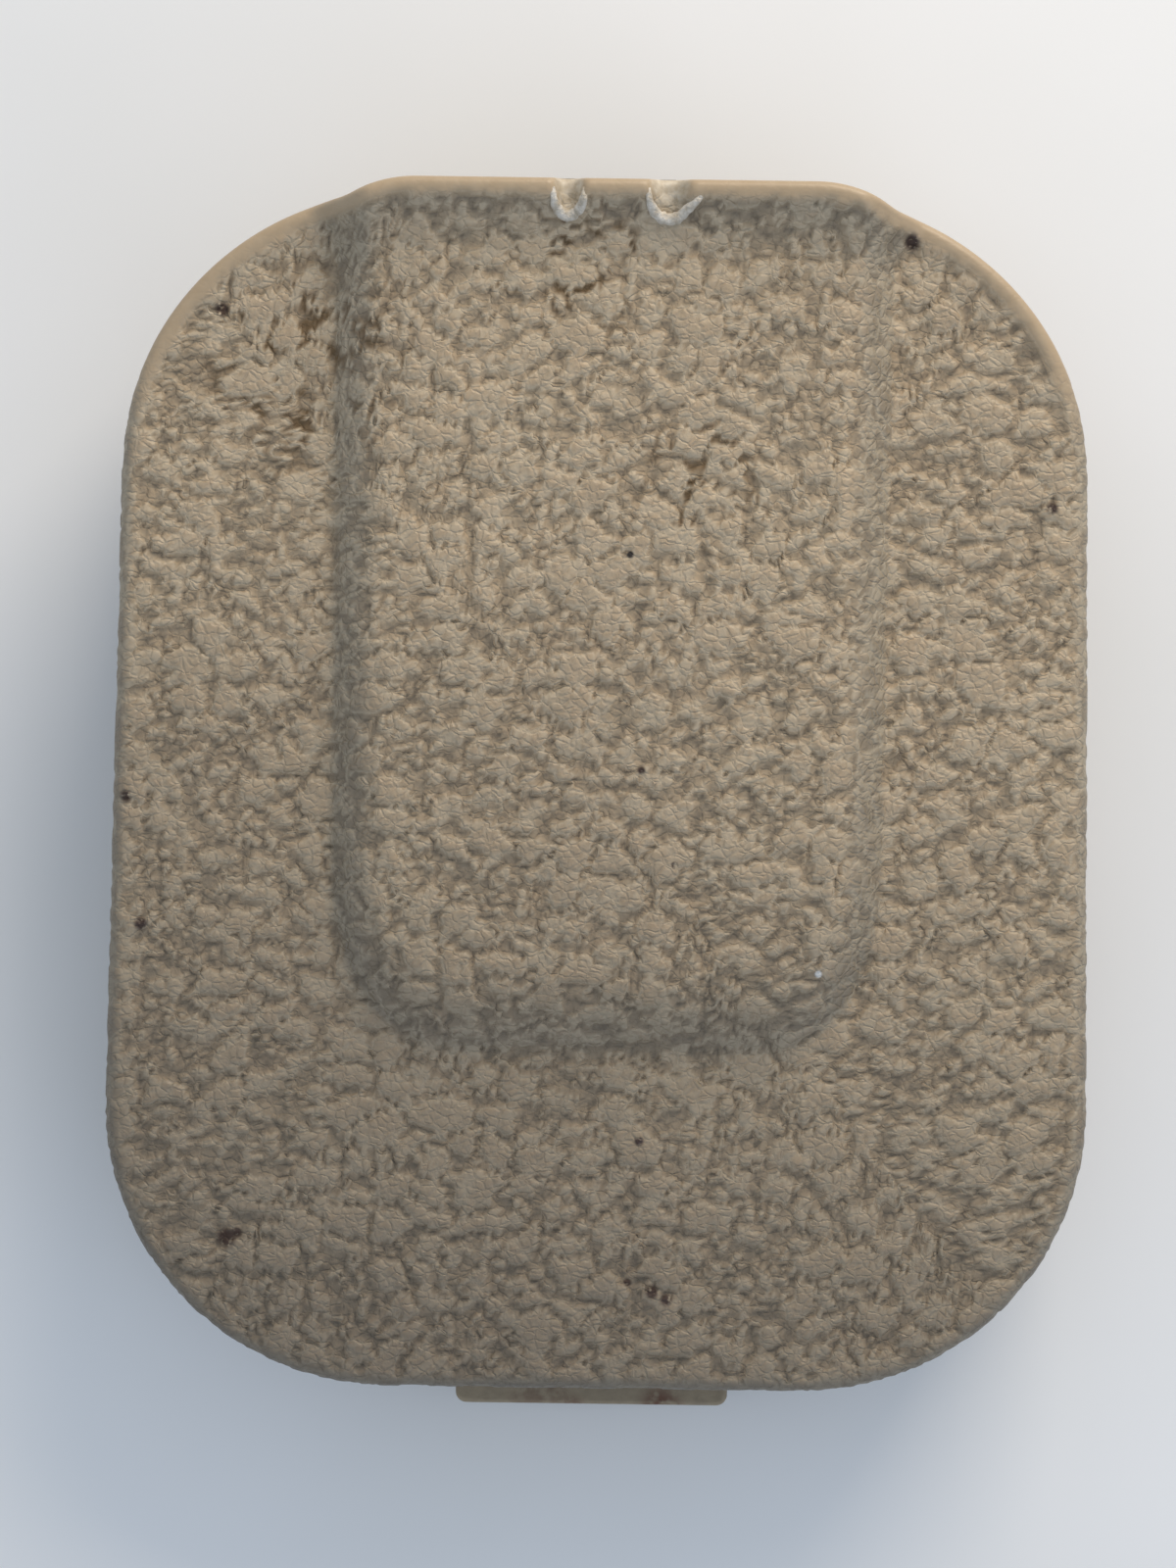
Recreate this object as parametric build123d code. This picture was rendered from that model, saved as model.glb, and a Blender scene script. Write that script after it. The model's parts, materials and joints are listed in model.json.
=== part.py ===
"""A clamshell foot speed control for a sewing machine, in millimetres.

A moulded tan cover is hinged at the heel of a tray-shaped base. Pressing the toe end turns the
cover down against two springs, and a screw under the cover swings a bell crank, which squeezes
two stacks of carbon discs in a ceramic block.

Frame: +X to the user's right, +Y towards the toe end, +Z up, origin on the floor under the middle.
Pieces that ride on the cover are made as they lie with the cover pressed fully down, where the
cover is level, and are then turned up about the hinge to the rest position.
"""
from build123d import *
import math
import os

# ---------------------------------------------------------------- driving dimensions
# Cover, seen from above
cover_width = 105.4       # at the heel edge, as if the corners were sharp
cover_toe_width = 99.4    # at the toe edge, in the same way
cover_length = 126.0
corner_radius = 30.0
nose_out = 1.3            # how far the middle of the toe face stands out
nose_width = 68.6
nose_corner = 14.0
nose_blend = 4.0

# Cover, seen from the side, when pressed fully down
cover_plate = 2.5         # thickness of the cover's top
cover_skirt_wall = 2.4
skirt_to_ground = 6.0     # under the skirt
press_angle = 5.6         # degrees from rest to fully pressed
sink = 0.5                # how far a rib or boss runs into the wall that carries it
past = 1.0                # how far a cut runs on beyond the face that it opens

# Raised pad on the cover, which runs out to the toe edge
pad_width = 58.0          # at its foot
pad_height = 3.6
pad_side_run = 4.2        # how far its sides slope outwards
pad_heel_run = 6.6        # how far its heel end slopes outwards
pad_to_heel = 36.6        # from the cover's heel edge to the pad's foot
pad_corner = 12.0
pad_offset = 0.8          # the pad lies this far right of the middle
pad_thinning = 1.5        # how much narrower the hollow under the pad is, on each side
lip_height = 2.6          # toe stop above the pad
lip_crest = 1.8
lip_run = 6.0
lip_inset = 0.3           # from the edge of the pad's top
rim_height = 0.9          # the stop's low continuation round the toe corners
rim_inset = 0.2

# Base tray
skirt_gap = 1.2           # between the base's wall and the cover's skirt
base_wall = 2.4
base_floor = 2.5
base_edge = 1.2
ground_gap = 3.0          # how far the feet hold the base off the floor
base_depth = 19.2         # height of the base's walls
heel_relief = 1.4         # the walls are lower behind the hinge, where the raised cover dips
lid_gap = 0.8             # between the base's walls and the pressed cover

# Heel tab of the base, which passes out through a notch in the cover's skirt
tab_width = 29.8
tab_out = 4.65            # beyond the cover's heel edge
tab_height = 6.5
tab_corner = 1.2
tab_edge = 0.5
tab_gap = 0.7
notch_headroom = 1.2

# Hinge
hinge_inset = 11.0        # from the cover's heel edge
hinge_height = 13.0
hinge_pin_d = 4.0
hinge_lug_inset = 2.3     # from where the corner's curve begins to the middle of the lug
hinge_lug_t = 5.0
hinge_ear_t = 5.0
hinge_boss_r = 4.5
hinge_web = 7.0           # length of the lug's web between the boss and the cover
hinge_side_gap = 0.5
clip_t = 0.8
clip_d = 7.0
clip_groove = 0.5         # depth of the groove that the clip sits in
pin_over = 1.6            # pin beyond each clip

# Fits
running_gap = 0.05        # radial, on pins that turn
snug_gap = 0.03           # radial, on screws and plugs in their holes
free_hole_gap = 0.2       # radial, where a screw passes through
face_gap = 0.02           # between faces that rest on each other
assembly_gap = 0.2        # between faces that are only close to each other

# Rheostat
hinge_to_block = 25.3
block_width = 42.0
block_length = 32.0
block_height = 14.0
block_round = 2.0
block_end = 4.0           # wall at the block's heel end
rib_pitch = 7.0
bore_d = 9.0
bore_x = 11.0
bore_gap = 0.15           # radial, round the carbon discs
plunger_gap = 0.2         # radial, round the plungers
disc_count = 16
disc_t = 1.4
disc_parting = 0.04       # between one disc and the next
contact_stem_d = 4.0
contact_head_t = 0.7
contact_nut_af = 7.0
contact_nut_t = 2.6
sheet_t = 0.7
floor_screw_d = 3.0
floor_screw_bite = 1.6    # how deep the floor screws reach into the floor
block_screw_inset = 4.5
leaf_width = 10.0
leaf_t = 0.7
leaf_foot = 9.0
leaf_drop = 5.5

# Plungers and bridge
plunger_out = 3.2
bridge_t = 2.5
bridge_height = 8.0
bridge_overhang = 5.0

# Bell crank
crank_z = 18.5
crank_back = 4.3          # the pin lies this far toe-ward of the nose
crank_pin_d = 3.0
crank_barrel_d = 7.0
crank_width = 16.0
crank_arm_t = 2.6
crank_arm_width = 10.0
crank_arm_over = 3.0      # arm beyond the screw that presses it
crank_leg = 6.6           # from the pin down to the nose
crank_nose_r = 1.8
bracket_t = 1.5
bracket_width = 40.0
bracket_length = 16.0
bracket_ear_r = 4.0
bracket_screw_x = 15.5

# Screw under the cover
actuator_to_toe = 15.0    # from the inside of the base's toe wall
actuator_d = 5.0
actuator_boss_d = 11.0
actuator_boss_drop = 4.2
actuator_drop = 3.0       # of the tip below the crank's pin, with the cover pressed
actuator_cover = 1.2      # plastic left above the screw
tip_gap = 0.3
nut_af = 8.0
nut_t = 3.0

# Springs, bumpers and feet
side_inset = 9.7          # from the inside of the base's side wall to springs, bumpers and feet
spring_to_crank = 6.0
spring_mean_d = 9.0
spring_wire_d = 1.0
spring_turns = 6.5
spring_top_gap = 1.0
cup_d = 13.0
cup_wall = 1.2
cup_height = 3.0
spring_to_bumper = 13.0
bumper_d = 8.0
bumper_stem_d = 4.0
bumper_gap = 0.4          # between the bumper and the pressed cover
pillar_d = 10.0
pillar_height = 7.0
foot_to_hinge = 15.3
foot_to_toe = 19.7
foot_d = 14.0
foot_recess = 1.0
foot_stem_d = 5.0
foot_head_d = 7.0
foot_head_t = 1.6

# Toe hooks of the cover, which hold it down at rest
hook_x = 19.0
hook_width = 7.0
hook_t = 2.0
hook_reach = 1.6
hook_barb = 2.0
hook_gap = 0.7
ledge_width = 10.0
ledge_reach = 1.9
ledge_t = 2.0

# Cord gland in the toe wall, and the clamp behind it
gland_bore_d = 6.4
gland_body_d = 9.4
gland_flange_d = 12.6
gland_flange_t = 1.2
gland_length = 6.0
gland_lift = 0.4          # between the gland's body and the base floor
clamp_length = 6.0
clamp_width = 24.0
clamp_to_wall = 4.0
clamp_roof = 1.8          # above the cord
clamp_cord_gap = 0.3
clamp_screw_x = 8.6
clamp_head_depth = 2.4

# Stiffener under the pad
stiffener_t = 1.2
stiffener_width = 38.0
stiffener_length = 50.0
stiffener_inset = 6.0     # from the heel end of the pad's top
stiffener_screw_d = 2.6
stiffener_screw_x = 15.0
stiffener_screw_pitch = 40.0

# Terminal strip and wires
strip_inset = 9.2         # from the inside of the base's side wall
strip_to_block = 11.0     # the strip's middle lies this far toe-ward of the block's heel
strip_width = 8.0
strip_length = 26.0
strip_height = 6.0
strip_pitch = 6.0
strip_seat = 4.2
strip_screw_d = 2.5
strip_screw_inset = 2.6
wire_d = 1.6
wire_bend = 4.5
wire_lift = 0.5           # between a wire and the base floor
wire_lane = 2.8           # between one wire and the next

# Screw heads, as shares of the screw's diameter
screw_head_d = 1.75
screw_head_t = 0.65
screw_head_round = 0.26
screw_slot_width = 0.25

# Small features of the fittings
clip_mouth = 2.7          # width of the clip's opening
clip_grip_d = 1.75        # of the clip's two round cut-outs
clip_grip_y = 2.5         # from the pin's middle to each of them
pin_chamfer = 0.4
foot_round = 0.8
foot_head_neck_d = 3.4
bumper_round = 1.0
bumper_hole_floor = 1.0   # left under the hole in the pillar
bumper_stem_gap = 1.0     # between the stem and the bottom of its hole
strip_hole_floor = 1.0    # left under the terminal screws' holes
strip_screw_gap = 1.0     # between a terminal screw and the bottom of its hole
strip_seat_inset = 0.5    # of a terminal's seat from the strip's sides
block_groove = 2.4        # width of the grooves in the block's sides
crank_head_t = 1.0
crank_web = 1.0           # how much slimmer the crank's leg is than its barrel, all round

# Vents in the base floor
vent_width = 2.4
vent_length = 7.0
vent_to_block = 5.0       # from the block's side
vent_pitch = 5.5
vent_count = 5

# ---------------------------------------------------------------- places worked out from them
toe_reach = cover_length - hinge_inset
heel_reach = hinge_inset + tab_out
hinge_y = -(toe_reach + nose_out - heel_reach) / 2
cover_heel_y = hinge_y - hinge_inset
cover_toe_y = cover_heel_y + cover_length
hinge_line = Axis((0, hinge_y, hinge_height), (1, 0, 0))
cover_lean = (cover_width - cover_toe_width) / 2 / cover_length
corner_start_x = cover_width / 2 - corner_radius * (cover_lean + math.hypot(1, cover_lean))
hinge_lug_x = corner_start_x - hinge_lug_inset

base_top_z = ground_gap + base_depth
floor_z = ground_gap + base_floor
plate_under_z = base_top_z + lid_gap
plate_top_z = plate_under_z + cover_plate
pad_top_z = plate_top_z + pad_height
pad_under_z = plate_under_z + pad_height

base_inset = cover_skirt_wall + skirt_gap
inner_inset = base_inset + base_wall
inner_x = cover_toe_width / 2 - inner_inset
side_x = inner_x - side_inset
base_toe_y = cover_toe_y + nose_out - base_inset
inner_toe_y = base_toe_y - base_wall
base_heel_y = cover_heel_y + base_inset

block_heel_y = hinge_y + hinge_to_block
block_toe_y = block_heel_y + block_length
block_low_z = floor_z + sheet_t
block_top_z = block_low_z + block_height
bore_z = (block_low_z + block_top_z) / 2
stack_heel_y = block_heel_y + block_end + contact_head_t + 2 * face_gap
stack_toe_y = stack_heel_y + disc_count * disc_t

nose_y = block_toe_y + plunger_out + bridge_t + assembly_gap + crank_nose_r
crank_y = nose_y + crank_back
actuator_y = inner_toe_y - actuator_to_toe
spring_y = crank_y - spring_to_crank
bumper_y = spring_y + spring_to_bumper

gland_z = floor_z + gland_lift + gland_body_d / 2
clamp_mid_y = inner_toe_y - clamp_to_wall - clamp_length / 2
clamp_top_z = gland_z + gland_bore_d / 2 + clamp_roof
strip_x = inner_x - strip_inset
strip_y = block_heel_y + strip_to_block
stiffener_mid_y = cover_heel_y + pad_to_heel + pad_heel_run + stiffener_inset + stiffener_length / 2


def crank_tilt(cover_angle):
    """Tilt of the crank's arm in degrees when the screw's tip rests on it at this cover angle."""
    turn = math.radians(cover_angle)
    reach = actuator_y - hinge_y
    height = crank_z - actuator_drop + actuator_d / 2 - hinge_height
    tip_y = hinge_y + reach * math.cos(turn) - height * math.sin(turn) - crank_y
    tip_z = hinge_height + reach * math.sin(turn) + height * math.cos(turn) - crank_z
    stand_off = crank_arm_t / 2 + actuator_d / 2 + tip_gap
    return math.degrees(math.atan2(tip_z, tip_y) - math.asin(stand_off / math.hypot(tip_y, tip_z)))


crank_rest_tilt = crank_tilt(press_angle)
crank_swing = crank_rest_tilt - crank_tilt(0)
bridge_travel = crank_leg * math.sin(math.radians(crank_swing)) - crank_back * (
    1 - math.cos(math.radians(crank_swing)))


def to_rest(shape):
    """Turns a piece of the cover from the pressed to the rest position."""
    return shape.rotate(hinge_line, press_angle)


def plain_outline(inset):
    """The cover's plan without its nose, drawn in by inset: its sides lean inwards towards the toe."""
    side_inset_x = inset * math.hypot(1, cover_lean)
    heel_x = cover_width / 2 - inset * cover_lean - side_inset_x
    toe_x = cover_toe_width / 2 + inset * cover_lean - side_inset_x
    heel_y = cover_heel_y + inset
    toe_y = cover_toe_y - inset
    plan = Polygon((-heel_x, heel_y), (heel_x, heel_y), (toe_x, toe_y), (-toe_x, toe_y), align=None)
    return fillet(plan.vertices(), corner_radius - inset)


def nose(inset):
    """A rounded block in plan whose far side stands out of the middle of the toe face."""
    length = 2 * corner_radius
    return Pos(pad_offset, cover_toe_y + nose_out - length / 2) * RectangleRounded(
        nose_width - 2 * inset, length - 2 * inset, nose_corner - inset)


def outline(inset):
    """The cover's plan, with the two kinks beside the nose blended."""
    plan = plain_outline(inset) + nose(inset)
    flat = nose_width / 2 - nose_corner + sink
    near_toe = [v for v in plan.vertices() if v.Y > cover_toe_y - corner_radius / 2]
    return fillet([v for v in near_toe if abs(v.X - pad_offset) > flat], nose_blend)


def slab(sketch, z_low, z_high):
    return Pos(0, 0, z_low) * extrude(sketch, amount=z_high - z_low)


def box(x, y, z):
    """A box from its (low, high) along each axis."""
    middle = Pos((x[0] + x[1]) / 2, (y[0] + y[1]) / 2, (z[0] + z[1]) / 2)
    return middle * Box(x[1] - x[0], y[1] - y[0], z[1] - z[0])


def around(middle, width):
    """The (low, high) pair of a width about its middle."""
    return middle - width / 2, middle + width / 2


def rod_x(diameter, x, y, z):
    return Pos(sum(x) / 2, y, z) * Rot(0, 90, 0) * Cylinder(diameter / 2, x[1] - x[0])


def rod_y(diameter, x, y, z):
    return Pos(x, sum(y) / 2, z) * Rot(90, 0, 0) * Cylinder(diameter / 2, y[1] - y[0])


def rod_z(diameter, x, y, z):
    return Pos(x, y, sum(z) / 2) * Cylinder(diameter / 2, z[1] - z[0])


def pan_screw(x, y, seat_z, shank_d, shank_length):
    """A slotted pan-head screw pointing down, its head on seat_z."""
    head_d = shank_d * screw_head_d
    head_t = shank_d * screw_head_t
    head = rod_z(head_d, x, y, (seat_z, seat_z + head_t))
    head = fillet(head.edges().sort_by(Axis.Z)[-1], shank_d * screw_head_round)
    slot_z = (seat_z + head_t / 2, seat_z + head_t + past)
    slot = box(around(x, 2 * head_d), around(y, shank_d * screw_slot_width), slot_z)
    return head - slot + rod_z(shank_d, x, y, (seat_z - shank_length, seat_z))


# ---------------------------------------------------------------- cover and what rides on it
def pad_plan(grow, toe_y):
    """The pad's plan: sides and heel moved out by grow from the pad's top, its toe end at toe_y."""
    half = pad_width / 2 - pad_side_run + grow
    heel = cover_heel_y + pad_to_heel + pad_heel_run - grow * pad_heel_run / pad_side_run
    plan = Pos(pad_offset, (heel + toe_y) / 2) * Rectangle(2 * half, toe_y - heel)
    return fillet(plan.vertices().sort_by(Axis.Y)[:2], pad_corner - pad_side_run + grow)


def pad_body(z_foot, z_top, toe_y, thinning=0.0):
    """The pad as a block with sloping sides, from a wide foot to a narrower top."""
    foot = Pos(0, 0, z_foot) * pad_plan(pad_side_run - thinning, toe_y)
    top = Pos(0, 0, z_top) * pad_plan(-thinning, toe_y)
    return loft([foot, top], ruled=True)


def whole_pad():
    """The pad, cut off by the toe face."""
    pad = pad_body(plate_under_z, pad_top_z, cover_toe_y + corner_radius)
    return pad & slab(outline(0), plate_under_z, pad_top_z)


def toe_lip():
    """The stop across the toe end of the pad, sloping up from it to a narrow crest."""
    face_y = cover_toe_y + nose_out
    low_z = pad_top_z - sink
    crest_z = pad_top_z + lip_height
    section = Plane.YZ * Polygon(
        (face_y, low_z),
        (face_y, crest_z),
        (face_y - lip_crest, crest_z),
        (face_y - lip_crest - lip_run, pad_top_z),
        (face_y - lip_crest - lip_run, low_z),
        align=None)
    half = pad_width / 2 - pad_side_run - lip_inset
    bar = Pos(pad_offset - half, 0, 0) * extrude(section, amount=2 * half)
    return bar & slab(outline(0), low_z, crest_z)


def toe_rim():
    """The stop's low continuation round both toe corners, fading out towards the sides."""
    low_z = plate_top_z - sink
    top_z = plate_top_z + rim_height
    ring = slab(outline(rim_inset) - outline(lip_crest), low_z, top_z)
    wedge = Plane.YZ * Polygon(
        (cover_toe_y - corner_radius, low_z),
        (cover_toe_y + nose_out, low_z),
        (cover_toe_y + nose_out, top_z),
        (cover_toe_y, top_z),
        align=None)
    return ring & (Pos(-cover_width, 0, 0) * extrude(wedge, amount=2 * cover_width))


def hinge_lug(side):
    """One lug under the cover's heel that turns on the hinge pin."""
    x = around(side * hinge_lug_x, hinge_lug_t)
    lug = box(x, around(hinge_y, hinge_web), (hinge_height, plate_under_z + sink))
    lug += rod_x(2 * hinge_boss_r, x, hinge_y, hinge_height)
    return lug - rod_x(hinge_pin_d + 2 * running_gap, around(side * hinge_lug_x, 2 * hinge_lug_t), hinge_y,
                       hinge_height)


def toe_hook(side):
    """A barbed leg under the pad that catches the base's ledge at rest."""
    x = around(side * hook_x + pad_offset, hook_width)
    face_y = inner_toe_y - ledge_reach - hook_gap
    rise = (face_y - hinge_y) * math.sin(math.radians(press_angle))
    barb_z = base_top_z - ledge_t - assembly_gap - rise
    leg = box(x, (face_y - hook_t, face_y), (barb_z - hook_barb, pad_under_z + sink))
    return leg + box(x, (face_y - hook_t, face_y + hook_reach), (barb_z - hook_barb, barb_z))


def heel_notch():
    """The way through the heel skirt for the base's tab, clear of it at rest too."""
    dip = (hinge_inset + tab_out) * math.sin(math.radians(press_angle))
    top_z = ground_gap + tab_height + dip + notch_headroom
    return box(around(0, tab_width + 2 * tab_gap), (cover_heel_y - past, base_heel_y), (0, top_z))


def gland_notch():
    """The way through the toe skirt for the gland's flange and the cord."""
    reach = gland_flange_d + 2 * tab_gap
    return box(around(0, reach), (base_toe_y, base_toe_y + base_inset + past), (0, gland_z + reach / 2))


def top_cover():
    body = slab(outline(0), skirt_to_ground, plate_top_z)
    body += whole_pad()
    body += toe_lip()
    body += toe_rim()
    body -= slab(outline(cover_skirt_wall), 0, plate_under_z)
    hollow_toe_y = cover_toe_y - cover_skirt_wall - pad_thinning
    body -= pad_body(plate_under_z - sink, pad_under_z, hollow_toe_y, pad_thinning)
    body -= heel_notch()
    body -= gland_notch()
    for side in (-1, 1):
        body += hinge_lug(side)
        body += toe_hook(side)
    boss_z = pad_under_z - actuator_boss_drop
    body += rod_z(actuator_boss_d, pad_offset, actuator_y, (boss_z, pad_under_z + sink))
    hole_z = (boss_z - past, pad_top_z - actuator_cover)
    body -= rod_z(actuator_d + 2 * snug_gap, pad_offset, actuator_y, hole_z)
    for x, y in stiffener_screw_places():
        hole_z = (pad_under_z - past, pad_under_z + stiffener_bite())
        body -= rod_z(stiffener_screw_d + 2 * snug_gap, x, y, hole_z)
    return to_rest(body)


def stiffener_bite():
    """How deep the stiffener's screws reach into the pad."""
    return cover_plate - actuator_cover


def stiffener_screw_places():
    for x in around(pad_offset, 2 * stiffener_screw_x):
        for y in around(stiffener_mid_y, stiffener_screw_pitch):
            yield x, y


def stiffener_plate():
    """Steel sheet screwed under the pad so that the plastic doesn't flex underfoot."""
    top_z = pad_under_z - face_gap
    plan = Pos(pad_offset, stiffener_mid_y) * RectangleRounded(stiffener_width, stiffener_length, block_round)
    plate = slab(plan, top_z - stiffener_t, top_z)
    for x, y in stiffener_screw_places():
        plate -= rod_z(stiffener_screw_d + 2 * free_hole_gap, x, y, (0, pad_top_z))
    return to_rest(plate)


def stiffener_screws():
    seat = pad_under_z - stiffener_t - 2 * face_gap
    length = stiffener_t + stiffener_bite()
    screws = [pan_screw(x, y, seat, stiffener_screw_d, length) for x, y in stiffener_screw_places()]
    return Compound(children=[to_rest(screw.mirror(Plane.XY.offset(seat))) for screw in screws])


def actuator_screw():
    """Screw with a domed tip; it presses on the bell crank's arm."""
    middle_z = crank_z - actuator_drop + actuator_d / 2
    top_z = pad_top_z - actuator_cover - assembly_gap
    shank = rod_z(actuator_d, pad_offset, actuator_y, (middle_z, top_z))
    return to_rest(shank + Pos(pad_offset, actuator_y, middle_z) * Sphere(actuator_d / 2))


def lock_nut():
    top_z = pad_under_z - actuator_boss_drop - face_gap
    hexagon = RegularPolygon(nut_af / 2, 6, major_radius=False) - Circle(actuator_d / 2 + snug_gap)
    return to_rest(slab(Pos(pad_offset, actuator_y) * hexagon, top_z - nut_t, top_z))


# ---------------------------------------------------------------- base and what is fixed to it
def ear_faces():
    """The (low, high) X of the inner and outer hinge ears on the right."""
    inner_high = hinge_lug_x - hinge_lug_t / 2 - hinge_side_gap
    outer_low = hinge_lug_x + hinge_lug_t / 2 + hinge_side_gap
    return (inner_high - hinge_ear_t, inner_high), (outer_low, outer_low + hinge_ear_t)


def foot_places():
    heel_y = hinge_y + foot_to_hinge
    toe_y = inner_toe_y - foot_to_toe
    return {"left_heel": (-side_x, heel_y), "right_heel": (side_x, heel_y),
            "left_toe": (-side_x, toe_y), "right_toe": (side_x, toe_y)}


def block_screw_places():
    return [(0, y) for y in around((block_heel_y + block_toe_y) / 2, block_length - 2 * block_screw_inset)]


def bracket_screw_places():
    return [(x, crank_y) for x in around(0, 2 * bracket_screw_x)]


def clamp_screw_places():
    return [(x, clamp_mid_y) for x in around(0, 2 * clamp_screw_x)]


def strip_screw_places():
    return [(strip_x, y) for y in around(strip_y, strip_length - 2 * strip_screw_inset)]


def terminal_ys():
    return [strip_y + i * strip_pitch for i in (-1, 0, 1)]


def heel_tab():
    """Tongue of the base that shows beyond the cover's heel edge."""
    y = (cover_heel_y - tab_out, base_heel_y + base_wall / 2)
    tab = box(around(0, tab_width), y, (ground_gap, ground_gap + tab_height))
    tab = fillet(tab.edges().filter_by(Axis.Z).sort_by(Axis.Y)[:2], tab_corner)
    return fillet(tab.faces().sort_by(Axis.Z)[-1].edges().sort_by(Axis.Y)[:3], tab_edge)


def hinge_ears(side):
    ears = Part()
    for low, high in ear_faces():
        x = sorted((side * low, side * high))
        ears += box(x, around(hinge_y, 2 * hinge_boss_r), (floor_z - sink, hinge_height))
        ears += rod_x(2 * hinge_boss_r, x, hinge_y, hinge_height)
    reach = around(side * hinge_lug_x, hinge_lug_t + 4 * hinge_ear_t)
    return ears - rod_x(hinge_pin_d + 2 * running_gap, reach, hinge_y, hinge_height)


def spring_cup(x):
    cup = rod_z(cup_d, x, spring_y, (floor_z - sink, floor_z + cup_height))
    return cup - rod_z(cup_d - 2 * cup_wall, x, spring_y, (floor_z, floor_z + 2 * cup_height))


def bumper_pillar(x):
    pillar = rod_z(pillar_d, x, bumper_y, (floor_z - sink, floor_z + pillar_height))
    hole_z = (floor_z + bumper_hole_floor, floor_z + 2 * pillar_height)
    return pillar - rod_z(bumper_stem_d + 2 * snug_gap, x, bumper_y, hole_z)


def hook_ledge(side):
    x = around(side * hook_x + pad_offset, ledge_width)
    return box(x, (inner_toe_y - ledge_reach, inner_toe_y + sink / 2), (base_top_z - ledge_t, base_top_z))


def vents(side):
    """A row of slots through the floor beside the block."""
    x = side * (block_width / 2 + vent_to_block)
    middle = (block_heel_y + block_toe_y) / 2
    slots = Part()
    for i in range(vent_count):
        y = middle + (i - (vent_count - 1) / 2) * vent_pitch
        slots += slab(Pos(x, y) * SlotOverall(vent_length, vent_width), 0, floor_z + past)
    return slots


def base_shell():
    """Tray with the heel tab, hinge ears, spring cups, bumper pillars and hook ledges in one moulding."""
    body = slab(outline(base_inset), ground_gap, base_top_z)
    body = fillet(body.faces().sort_by(Axis.Z)[0].edges(), base_edge)
    body -= slab(outline(inner_inset), floor_z, base_top_z + past)
    relief_z = (base_top_z - heel_relief, base_top_z + past)
    body -= box(around(0, cover_width), (cover_heel_y, hinge_y), relief_z)
    body += heel_tab()
    for side in (-1, 1):
        body += hinge_ears(side)
        body += spring_cup(side * side_x)
        body += bumper_pillar(side * side_x)
        body += hook_ledge(side)
        body -= vents(side)
    for x, y in foot_places().values():
        body -= rod_z(foot_d + 2 * assembly_gap, x, y, (0, ground_gap + foot_recess))
        body -= rod_z(foot_stem_d + 2 * snug_gap, x, y, (0, floor_z + past))
    for x, y in block_screw_places() + bracket_screw_places() + clamp_screw_places():
        body -= rod_z(floor_screw_d + 2 * snug_gap, x, y, (floor_z - floor_screw_bite, floor_z + past))
    for x, y in strip_screw_places():
        body -= rod_z(strip_screw_d + 2 * snug_gap, x, y, (floor_z - floor_screw_bite, floor_z + past))
    hole = (inner_toe_y - past, base_toe_y + past)
    return body - rod_y(gland_body_d + 2 * snug_gap, 0, hole, gland_z)


def foot(x, y):
    """Rubber foot with a push-in stem whose head swells above the base floor."""
    pad = rod_z(foot_d, x, y, (0, ground_gap + foot_recess - face_gap))
    pad = fillet(pad.edges().sort_by(Axis.Z)[0], foot_round)
    stem = rod_z(foot_stem_d, x, y, (ground_gap, floor_z + assembly_gap))
    head = Cone(foot_head_d / 2, foot_head_neck_d / 2, foot_head_t)
    return pad + stem + Pos(x, y, floor_z + face_gap + foot_head_t / 2) * head


def clip_place(side):
    """X of the middle of a clip, just outside the outer ear."""
    return side * (ear_faces()[1][1] + assembly_gap + clip_t / 2)


def hinge_pin():
    end = clip_place(1) + clip_t / 2 + pin_over
    pin = rod_x(hinge_pin_d, (-end, end), hinge_y, hinge_height)
    pin = chamfer(pin.edges().filter_by(GeomType.CIRCLE), pin_chamfer)
    for side in (-1, 1):
        x = around(clip_place(side), clip_t + assembly_gap)
        groove = rod_x(2 * hinge_pin_d, x, hinge_y, hinge_height)
        pin -= groove - rod_x(hinge_pin_d - 2 * clip_groove, x, hinge_y, hinge_height)
    return pin


def pin_clip(side):
    """Sprung steel clip pushed into the groove near the pin's end."""
    x = around(clip_place(side), clip_t)
    through = around(clip_place(side), 2 * clip_t)
    core_d = hinge_pin_d - 2 * clip_groove
    clip = rod_x(clip_d, x, hinge_y, hinge_height)
    clip -= rod_x(core_d + 2 * snug_gap, through, hinge_y, hinge_height)
    clip -= box(through, around(hinge_y, clip_mouth), (hinge_height, hinge_height + clip_d))
    for way in (-1, 1):
        clip -= rod_x(clip_grip_d, through, hinge_y + way * clip_grip_y, hinge_height - clip_grip_d)
    return clip


def rheostat_block():
    """Glazed ceramic block with a bore for each stack of carbon discs."""
    middle_y = (block_heel_y + block_toe_y) / 2
    body = box(around(0, block_width), (block_heel_y, block_toe_y), (block_low_z, block_top_z))
    body = fillet(body.edges().filter_by(Axis.Y), block_round)
    for side in (-1, 1):
        x = side * bore_x
        body -= rod_y(bore_d, x, (block_heel_y + block_end, block_toe_y + past), bore_z)
        stem_y = (block_heel_y - past, block_heel_y + block_end + past)
        body -= rod_y(contact_stem_d + 2 * snug_gap, x, stem_y, bore_z)
        for i in (-1, 0, 1):
            groove_x = around(side * block_width / 2, block_round)
            groove_y = around(middle_y + i * rib_pitch, block_groove)
            body -= box(groove_x, groove_y, (block_low_z + block_end, block_top_z - block_end))
    for x, y in block_screw_places():
        body -= rod_z(floor_screw_d + 2 * free_hole_gap, x, y, (0, block_top_z + past))
    return body


def carbon_pile(side):
    """The discs of one stack, each a piece of its own."""
    discs = []
    for i in range(disc_count):
        low = stack_heel_y + i * disc_t
        discs.append(rod_y(bore_d - 2 * bore_gap, side * bore_x, (low, low + disc_t - disc_parting), bore_z))
    return Compound(children=discs)


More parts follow.
